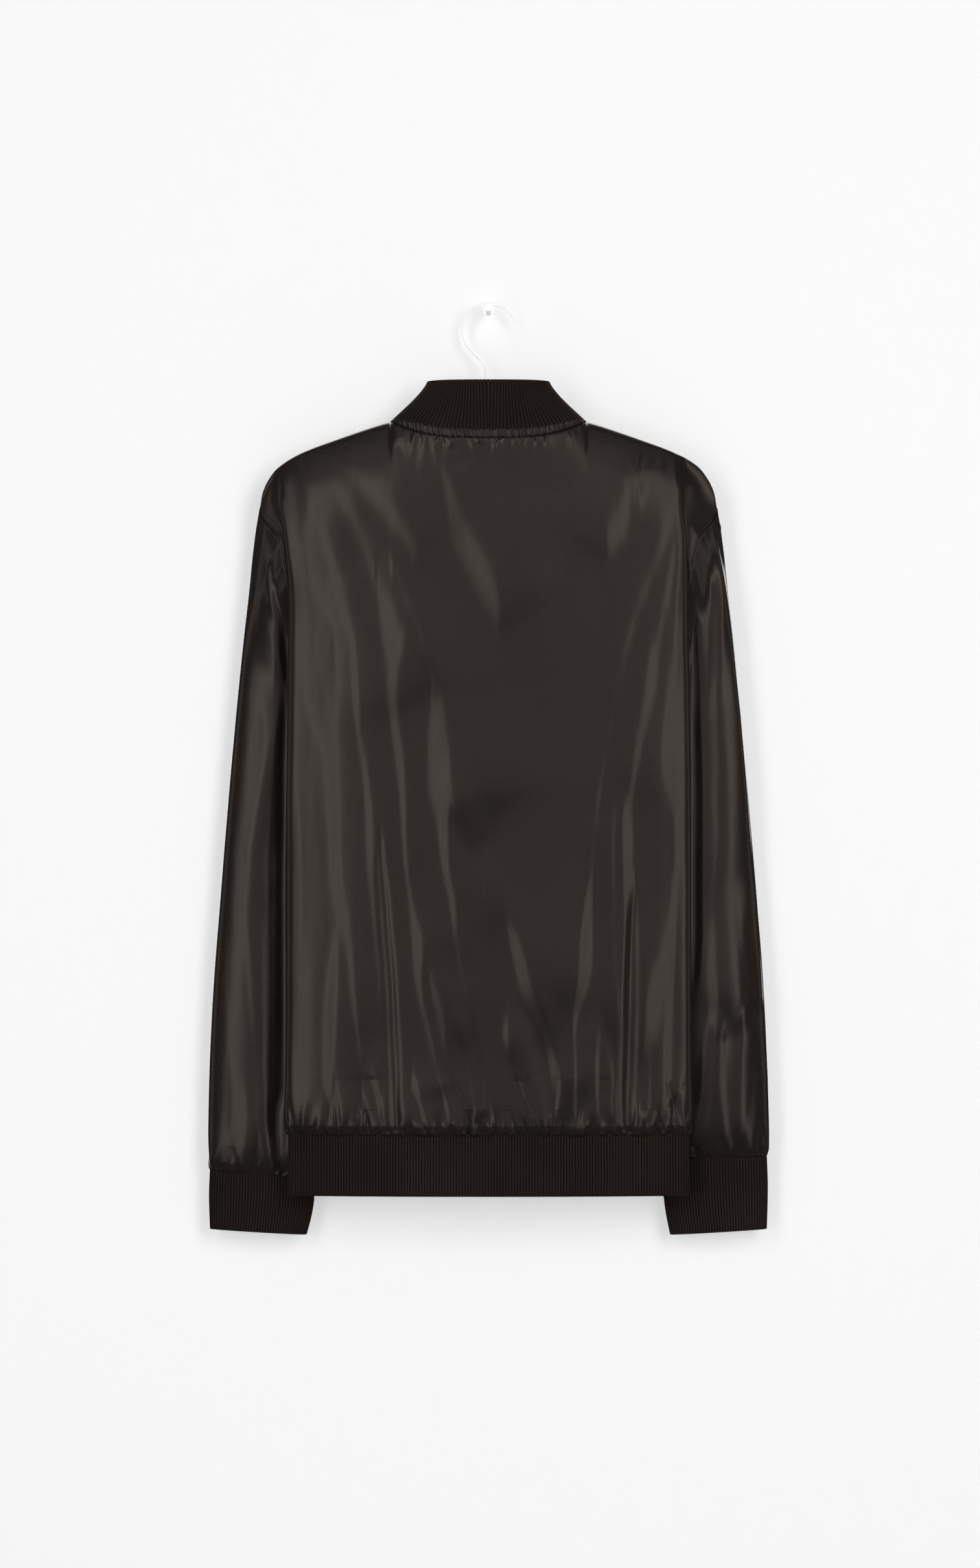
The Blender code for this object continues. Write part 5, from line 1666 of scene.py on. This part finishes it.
def folded_band(outer, outward, wave, top_first=False, open_ends=False):
    """A folded knit band: the outer face, its rounded fold, then the inner face, with ribs on both."""
    height = bpy.context.scene.jacket_cloth.rib_height
    thick = KNIT_WALL * np.ones(outer.shape[1])
    if open_ends:
        thick = thick * np.sqrt(np.clip(from_ends(len(thick)) / BAND_END_POINTS, BAND_END_SHARE, 1.0))
    ribs = (height * wave)[None, :, None]
    face = outer + outward * (ribs - height)
    inner = outer - outward * (thick[None, :, None] - height + ribs)
    if top_first:
        face = face[::-1]
    else:
        inner = inner[::-1]
    a, b = face[-1], inner[0]
    way = unit(face[-1] - face[-2]) * np.linalg.norm(a - b, axis=-1, keepdims=True) / 2
    angles = np.linspace(0, math.pi, FOLD_STEPS)[1:-1]
    bend = [(a + b) / 2 + (a - b) / 2 * math.cos(angle) + way * math.sin(angle) for angle in angles]
    return np.concatenate([face, np.array(bend), inner])


# ---------------------------------------------------------------- operators


class JACKET_OT_back(bpy.types.Operator):
    """Make the one-piece satin back, which wraps round both sides"""

    bl_idname = "jacket.back"
    bl_label = "Back"

    def execute(self, context):
        points, outward = back_cloth()
        back = grid_object("satin_back", turned_under(points, outward, sides=True))
        dress(back, satin(), "satin", "back")
        return {"FINISHED"}


class JACKET_OT_fronts(bpy.types.Operator):
    """Make the two satin fronts"""

    bl_idname = "jacket.fronts"
    bl_label = "Fronts"

    def execute(self, context):
        for side in (LEFT, RIGHT):
            name = f"front_{SIDE_NAME[side]}"
            turned = turned_under(*front_cloth(side), sides=True)
            front = grid_object(f"satin_{name}", turned, flip=side == RIGHT)
            dress(front, satin(), "satin", name)
        return {"FINISHED"}


class JACKET_OT_sleeves(bpy.types.Operator):
    """Make the two satin sleeves, gathered into their cuffs"""

    bl_idname = "jacket.sleeves"
    bl_label = "Sleeves"

    def execute(self, context):
        for side in (LEFT, RIGHT):
            name = f"sleeve_{SIDE_NAME[side]}"
            turned = turned_under(*sleeve_cloth(side))
            sleeve = grid_object(f"satin_{name}", turned, closed=True, flip=side == RIGHT)
            dress(sleeve, satin(), "satin", name)
        return {"FINISHED"}


class JACKET_OT_ribs(bpy.types.Operator):
    """Make the knit collar, hem band and cuffs"""

    bl_idname = "jacket.ribs"
    bl_label = "Knit ribs"

    def execute(self, context):
        self.make_collar()
        self.make_hem()
        for side in (LEFT, RIGHT):
            self.make_cuff(side)
        return {"FINISHED"}

    def make_collar(self):
        given = bpy.context.scene.jacket_cloth
        gap = math.asin(COLLAR_END_X / NECK_X)
        shares = np.linspace(0, 1, ROUGH_POINTS)
        rough = mix(-math.pi + gap, math.pi - gap, shares)
        heights = np.linspace(1, 0, COLLAR_ROWS)[:, None]
        middle = collar_form(rough, np.full(ROUGH_POINTS, COLLAR_RIB_HEIGHT))
        ribs = round(arc(middle)[-1] / (COLLAR_RIB_SPREAD * given.rib_pitch))
        angles = np.interp(even_around(middle, ribs * RIB_POINTS), shares, rough)
        form = collar_form(angles[None, :], heights)
        drop = COLLAR_SIDE_LIFT * towards_side(np.abs(np.sin(angles))) + COLLAR_DROP_GAPS * SEAM_GAP
        form[..., 0] *= 1 + COLLAR_INSET / NECK_X * COLLAR_FOOT_SPREAD * (1 - heights) ** COLLAR_FOOT_CURVE
        form[..., 2] -= drop[None, :] * (1 - heights) ** COLLAR_DROP_CURVE
        band = folded_band(form, facing(form), rib_wave(ribs), top_first=True, open_ends=True)
        collar = grid_object("rib_collar", band, flip=True, across=rib_lengths(ribs))
        dress(collar, rib_knit(), "rib_knit", "collar")

    def make_hem(self):
        given = bpy.context.scene.jacket_cloth
        outline = hem_line()
        count = round(arc(outline)[-1] / given.rib_pitch)
        shares = even_around(outline, count * RIB_POINTS)
        where = np.linspace(0, 1, len(outline))
        x, y = (np.interp(shares, where, outline[:, axis])[None, :] for axis in (0, 1))
        levels = np.linspace(HEM_SEAM_Z + HEM_TOP_GAP, HEM_BOTTOM_Z + HEM_FOLD_ROOM, HEM_ROWS)[:, None]
        form = stack(x, y, levels + 0 * x)
        outward = facing(form)
        form[..., 0] *= 1 - HEM_END_SHIFT * np.clip(1 - from_ends(len(shares)) / HEM_END_POINTS, 0.0, 1.0)
        form = form + outward * (HEM_WAVES * drift(x + y, levels, *HEM_WAVES_CELL, HEM_BAND_SEED))[..., None]
        band = folded_band(form, outward, rib_wave(count), open_ends=True)
        hem = grid_object("rib_hem", band, across=rib_lengths(count))
        dress(hem, rib_knit(), "rib_knit", "hem_rib")

    def make_cuff(self, side):
        given = bpy.context.scene.jacket_cloth
        rough = np.arange(CUFF_ROUGH_POINTS) / CUFF_ROUGH_POINTS
        first = self.cuff_form(side, rough)[CUFF_ROWS // 2]
        ribs = round(arc(closed_line(first))[-1] / given.rib_pitch)
        form = self.cuff_form(side, even_around(first, ribs * RIB_POINTS, closed=True))
        outward = facing(form, closed=True, flip=side == RIGHT)
        form[..., 2] += CUFF_TOP_LIFT * smooth(1 - np.arange(CUFF_ROWS) / 2.0)[:, None]
        band = folded_band(form, outward, rib_wave(ribs)[:-1])
        name = f"cuff_{SIDE_NAME[side]}"
        cuff = grid_object(f"rib_{name}", band, closed=True, flip=side == RIGHT, across=rib_lengths(ribs))
        dress(cuff, rib_knit(), "rib_knit", name)

    def cuff_form(self, side, around):
        """The cuff's surface at places around it, from its seam down to its fold."""
        count = len(CUFF_RINGS["y"])
        rings = []
        for index in range(count):
            shift = smooth(1 - index / (count - 1)) * (side == RIGHT)
            rings.append(shifted_oval(side, CUFF_RINGS, index, around, shift))
        return through(np.array(rings), CUFF_ROWS)[0]


class JACKET_OT_casing(bpy.types.Operator):
    """Make the gathered satin strip under the collar"""

    bl_idname = "jacket.casing"
    bl_label = "Neck strip"

    def execute(self, context):
        angle = np.linspace(-CASING_END, CASING_END, CASING_COLUMNS)[None, :]
        share = np.linspace(1 + STRIP_OVERLAP, -STRIP_OVERLAP, CASING_ROWS)[:, None]
        x = NECK_X * np.sin(angle)
        z = back_neck_z(x) + CASING_GAP + casing_height(x) * share
        form = stack(x, neck_depth(x, -BACK_NECK_DEPTH), z)
        along = arc(form[CASING_ROWS // 2])[None, :]
        swell = np.sqrt(np.clip(1 - (2 * share - 1) ** 2, 0, 1))
        lean = STRIP_LEAN * (share - 0.5)
        pleats = gathers(along + lean, 0.0 * share, STRIP_PLEATS, STRIP_SEED)
        lift = STRIP_BULGE * (CASING_BULGE - 0.5 * MM) * swell
        lift = lift + pleats * (STRIP_FLAT_SHARE + (1 - STRIP_FLAT_SHARE) * swell) - STRIP_SINK
        strip = grid_object("satin_neck_strip", form + facing(form) * lift[..., None])
        dress(strip, satin(), "satin", "neck_casing")
        return {"FINISHED"}


class JACKET_OT_stitches(bpy.types.Operator):
    """Sew the visible rows of stitches"""

    bl_idname = "jacket.stitches"
    bl_label = "Stitches"

    def execute(self, context):
        rows = []
        points, outward = back_cloth()
        underarm = int(np.argmin(np.abs(points[:, 0, 2] - UNDERARM_Z)))
        seam = slice(STITCH_FIRST_ROW, underarm)
        for column in BACK_STITCH_COLUMNS:
            rows.append((points[seam, column], outward[seam, column]))
        for side in (LEFT, RIGHT):
            points, outward = front_cloth(side)
            beside_zip = ZIP_STITCH_ROWS, ZIP_STITCH_COLUMN
            rows.append((points[beside_zip], outward[beside_zip]))
            for column in ARMHOLE_STITCH_COLUMNS:
                rows.append((points[seam, column], outward[seam, column]))
        angle = np.linspace(-CASING_END, CASING_END, STRIP_STITCH_POINTS)
        x = NECK_X * np.sin(angle)
        y = neck_depth(x, -BACK_NECK_DEPTH) - STRIP_STITCH_OUT
        casing = stack(x, y, back_neck_z(x) + CASING_GAP + STRIP_STITCH_UP)
        rows.append((casing, unit(stack(STRIP_STITCH_TURN * x, y - RIDGE_Y, 0 * x))))
        verts, faces = [], []
        for line, outward in rows:
            self.sew(verts, faces, line, outward)
        mesh = bpy.data.meshes.new("stitches")
        mesh.from_pydata([tuple(v) for v in verts], [], faces)
        mesh.shade_smooth()
        dress(linked("stitches", mesh), sewing_thread(), "satin")
        return {"FINISHED"}

    def sew(self, verts, faces, line, outward):
        """Short rounded lengths of thread, laid end to end along a line on the cloth."""
        length = bpy.context.scene.jacket_cloth.stitch_length
        where = arc(line)
        for start in (np.arange(int(where[-1] / length)) + STITCH_START) * length:
            shares = start + np.array(STITCH_PLACES) * STITCH_SHARE * length
            spine = np.stack([np.interp(shares, where, line[:, axis]) for axis in range(3)], -1)
            up = np.array([np.interp(shares[2], where, outward[:, axis]) for axis in range(3)])
            self.stitch(verts, faces, spine, up)

    def stitch(self, verts, faces, spine, up):
        """One stitch round its spine."""
        first, sides = len(verts), STITCH_SIDES
        across = unit(np.cross(unit(spine[-1] - spine[0]), up))
        for point, girth in zip(spine, STITCH_GIRTHS):
            for corner in range(sides):
                angle = 2 * math.pi * corner / sides
                spoke = across * math.cos(angle) + up * math.sin(angle)
                verts.append(point + up * (STITCH_SINK * girth) + spoke * STITCH_RADIUS * girth)
        for ring in range(len(spine) - 1):
            for corner in range(sides):
                a = first + ring * sides + corner
                b = first + ring * sides + (corner + 1) % sides
                faces.append((a, b, b + sides, a + sides))
        last = first + (len(spine) - 1) * sides
        faces.append(tuple(range(first, first + sides))[::-1])
        faces.append(tuple(range(last, last + sides)))


class JACKET_OT_zip(bpy.types.Operator):
    """Make the zip's teeth and finish its tapes, slider and pull tab"""

    bl_idname = "jacket.zip"
    bl_label = "Zip"

    def execute(self, context):
        pitch = bpy.context.scene.jacket_hardware.tooth_pitch
        low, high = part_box("zip_tape_left")
        verts, faces = [], []
        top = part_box("zip_slider")[0].z
        for side in (LEFT, RIGHT):
            for index in range(int((top - low.z - TAPE_END) / pitch)):
                z = low.z + TAPE_END + (index + (0.5 if side == RIGHT else 0.0)) * pitch
                self.tooth(verts, faces, side, high.y, z)
        mesh = bpy.data.meshes.new("zip_teeth")
        mesh.from_pydata(verts, [], faces)
        teeth = linked("zip_teeth", mesh)
        rounded = teeth.modifiers.new("Bevel", "BEVEL")
        rounded.width = TOOTH_BEVEL
        rounded.segments = 1
        dress(teeth, dark_metal(), "zip_metal")
        for side in (LEFT, RIGHT):
            name = f"zip_tape_{SIDE_NAME[side]}"
            paint_node(name, zip_tape())
        paint_node("zip_slider", dark_metal())
        paint_node("zip_pull", dark_metal())
        return {"FINISHED"}

    def tooth(self, verts, faces, side, face, z):
        """One tooth that grips the tape's edge and reaches a little past the middle."""
        first, count = len(verts), len(TOOTH_OUTLINE)
        for y in (face - TOOTH_BEHIND, face + TOOTH_FRONT):
            for x, rise in TOOTH_OUTLINE:
                verts.append((side * x * MM, y, z + rise * MM))
        made = [list(range(first + count, first + 2 * count)), list(range(first, first + count))[::-1]]
        for step in range(count):
            after = (step + 1) % count
            made.append([first + step, first + after, first + count + after, first + count + step])
        faces.extend(made if side == RIGHT else [corners[::-1] for corners in made])


class JACKET_OT_hanger(bpy.types.Operator):
    """Make the wire hook smooth, and finish the hanger's arms and the wall peg"""

    bl_idname = "jacket.hanger"
    bl_label = "Hanger and peg"

    def execute(self, context):
        data = bpy.data.curves.new("wire_hook", "CURVE")
        data.dimensions = "3D"
        data.bevel_depth = WIRE_RADIUS
        data.bevel_resolution = 4
        data.use_fill_caps = True
        points = self.hook_line()
        spline = data.splines.new("POLY")
        spline.points.add(len(points) - 1)
        for target, point in zip(spline.points, points):
            target.co = (*point, 1.0)
        dress(linked("wire_hook", data), white_coat(), "white_metal", "hanger_hook")
        paint_node("hanger_arms", white_coat())
        paint_node("wall_peg", white_coat())
        return {"FINISHED"}

    def hook_line(self):
        """The wire from its tip over the peg, round to the left, and by an S-bend down the stem."""
        end = HOOK_TURN_ANGLE
        angles = np.linspace(HOOK_TIP_ANGLE, end, 60)
        middle = np.array([HOOK_X, PEG_RADIUS + SEAM_GAP + WIRE_RADIUS - HOOK_RADIUS])
        crook = middle + HOOK_RADIUS * np.stack([np.cos(angles), np.sin(angles)], -1)
        heading = np.array([-math.sin(end), math.cos(end)])
        top = np.array(STEM_TOP)
        bend = [crook[-1], crook[-1] + heading * HOOK_BEND_START, top + np.array([0, HOOK_BEND_END]), top]
        swerve = np.array([turn(bend, share) for share in np.linspace(0, 1, 25)[1:]])
        stem = np.stack([np.full(10, top[0]), np.linspace(top[1], STEM_FOOT_Z, 11)[1:]], -1)
        line = np.concatenate([crook, swerve, stem])
        lean = smooth((LEAN_TOP_Z - line[:, 1]) / (LEAN_TOP_Z - STEM_FOOT_Z))
        return [(x, y, z) for (x, z), y in zip(line.tolist(), mix(HOOK_Y, ARM_Y, lean).tolist())]


class JACKET_OT_studio(bpy.types.Operator):
    """Set up the wall, the floor, the lights and the camera"""

    bl_idname = "jacket.studio"
    bl_label = "Studio"

    def execute(self, context):
        given = context.scene.jacket_studio
        self.make_wall(given)
        for light in LIGHTS:
            self.make_light(light, light.share * getattr(given, light.power))
        world = bpy.data.worlds.new("room_light")
        context.scene.world = world
        world.use_nodes = True
        sky = world.node_tree.nodes["Background"]
        sky.inputs["Color"].default_value = WHITE
        sky.inputs["Strength"].default_value = given.surround
        context.scene.view_settings.view_transform = "Standard"
        self.make_camera(context)
        return {"FINISHED"}

    def make_wall(self, given):
        """Wall, cove and floor in one sheet, seen through from behind."""
        turns = [(math.cos(angle), math.sin(angle)) for angle in np.linspace(0, math.pi / 2, 17)]
        foot = FLOOR_Z + COVE_RADIUS
        cove = [(-COVE_RADIUS + (COVE_RADIUS + WALL_GAP) * c, foot - COVE_RADIUS * s) for c, s in turns]
        profile = [(WALL_GAP, WALL_TOP_Z)] + cove + [(FLOOR_END_Y, FLOOR_Z)]
        verts = [(x, y, z) for y, z in profile for x in (-WALL_HALF_WIDTH, WALL_HALF_WIDTH)]
        faces = [(2 * i, 2 * i + 2, 2 * i + 3, 2 * i + 1) for i in range(len(profile) - 1)]
        mesh = bpy.data.meshes.new("wall_and_floor")
        mesh.from_pydata(verts, [], faces)
        mesh.shade_smooth()
        mesh.materials.append(self.wall_paint(given))
        wall = linked("wall_and_floor", mesh)
        wall.visible_glossy = wall.visible_shadow = False

    def wall_paint(self, given):
        """Matt paint that glows a little where it is looked at, and is clear from behind."""
        made, tree, shader, grain = new_material(
            "wall_paint", speckle_group(), Grain_Scale=300.0, Roughness=0.85, Marks=0.05
        )
        tree.links.new(grain["Roughness"], shader.inputs["Roughness"])
        shader.inputs["Base Color"].default_value = (*given.wall_colour, 1.0)
        shader.inputs["Specular IOR Level"].default_value = 0.0
        glow = add(tree, "ShaderNodeEmission", Strength=given.wall_glow).outputs[0]
        both = add(tree, "ShaderNodeAddShader", [(shader.outputs[0], 0), (glow, 1)]).outputs[0]
        looked_at = add(tree, "ShaderNodeLightPath").outputs["Is Camera Ray"]
        behind = add(tree, "ShaderNodeNewGeometry").outputs["Backfacing"]
        front = self.either(tree, looked_at, shader.outputs[0], both)
        clear = add(tree, "ShaderNodeBsdfTransparent").outputs[0]
        surface = self.either(tree, behind, front, clear)
        tree.links.new(surface, tree.nodes["Material Output"].inputs["Surface"])
        return made

    def either(self, tree, choice, no, yes):
        """One of two shaders."""
        return add(tree, "ShaderNodeMixShader", [(choice, "Fac"), (no, 1), (yes, 2)]).outputs[0]

    def make_light(self, light, power):
        data = bpy.data.lights.new(light.name, "AREA")
        data.shape = "RECTANGLE"
        data.size, data.size_y = light.size
        data.energy = power
        lamp = linked(light.name, data)
        lamp.location = light.place
        lamp.rotation_euler = (Vector(LIGHTS_AIM) - Vector(light.place)).to_track_quat("-Z", "Y").to_euler()
        lamp.visible_glossy = light.glossy
        lamp.visible_diffuse = light.diffuse
        lamp.visible_camera = False

    def make_camera(self, context):
        data = bpy.data.cameras.new("camera")
        data.sensor_width = CAMERA_SENSOR
        data.lens = CAMERA_LENS
        data.clip_end = CAMERA_REACH
        camera = linked("camera", data)
        camera.location = CAMERA_PLACE
        camera.rotation_euler = (math.pi / 2, 0.0, 0.0)
        context.scene.camera = camera


class JACKET_PT_sidebar(bpy.types.Panel):
    """The jacket's settings and pieces"""

    bl_idname = "JACKET_PT_sidebar"
    bl_label = "Bomber jacket"
    bl_space_type = "VIEW_3D"
    bl_region_type = "UI"
    bl_category = "Jacket"

    def draw(self, context):
        scene = context.scene
        for settings in (scene.jacket_cloth, scene.jacket_hardware, scene.jacket_studio):
            box = self.layout.box()
            for name in settings.__annotations__:
                box.prop(settings, name)
        for operator in OPERATORS:
            self.layout.operator(operator.bl_idname)


OPERATORS = (
    JACKET_OT_back,
    JACKET_OT_fronts,
    JACKET_OT_sleeves,
    JACKET_OT_ribs,
    JACKET_OT_casing,
    JACKET_OT_stitches,
    JACKET_OT_zip,
    JACKET_OT_hanger,
    JACKET_OT_studio,
)
CLASSES = (JacketCloth, JacketHardware, JacketStudio) + OPERATORS + (JACKET_PT_sidebar,)


def register():
    for kind in CLASSES:
        bpy.utils.register_class(kind)
    bpy.types.Scene.jacket_cloth = PointerProperty(type=JacketCloth)
    bpy.types.Scene.jacket_hardware = PointerProperty(type=JacketHardware)
    bpy.types.Scene.jacket_studio = PointerProperty(type=JacketStudio)


def unregister():
    del bpy.types.Scene.jacket_studio
    del bpy.types.Scene.jacket_hardware
    del bpy.types.Scene.jacket_cloth
    for kind in reversed(CLASSES):
        bpy.utils.unregister_class(kind)


def main():
    for name in ("Cube", "Light", "Camera"):
        if name in bpy.data.objects:
            bpy.data.objects.remove(bpy.data.objects[name], do_unlink=True)
    register()
    bpy.ops.jacket.back()
    bpy.ops.jacket.fronts()
    bpy.ops.jacket.sleeves()
    bpy.ops.jacket.ribs()
    bpy.ops.jacket.casing()
    bpy.ops.jacket.stitches()
    bpy.ops.jacket.zip()
    bpy.ops.jacket.hanger()
    bpy.ops.jacket.studio()


if __name__ == "__main__":
    main()
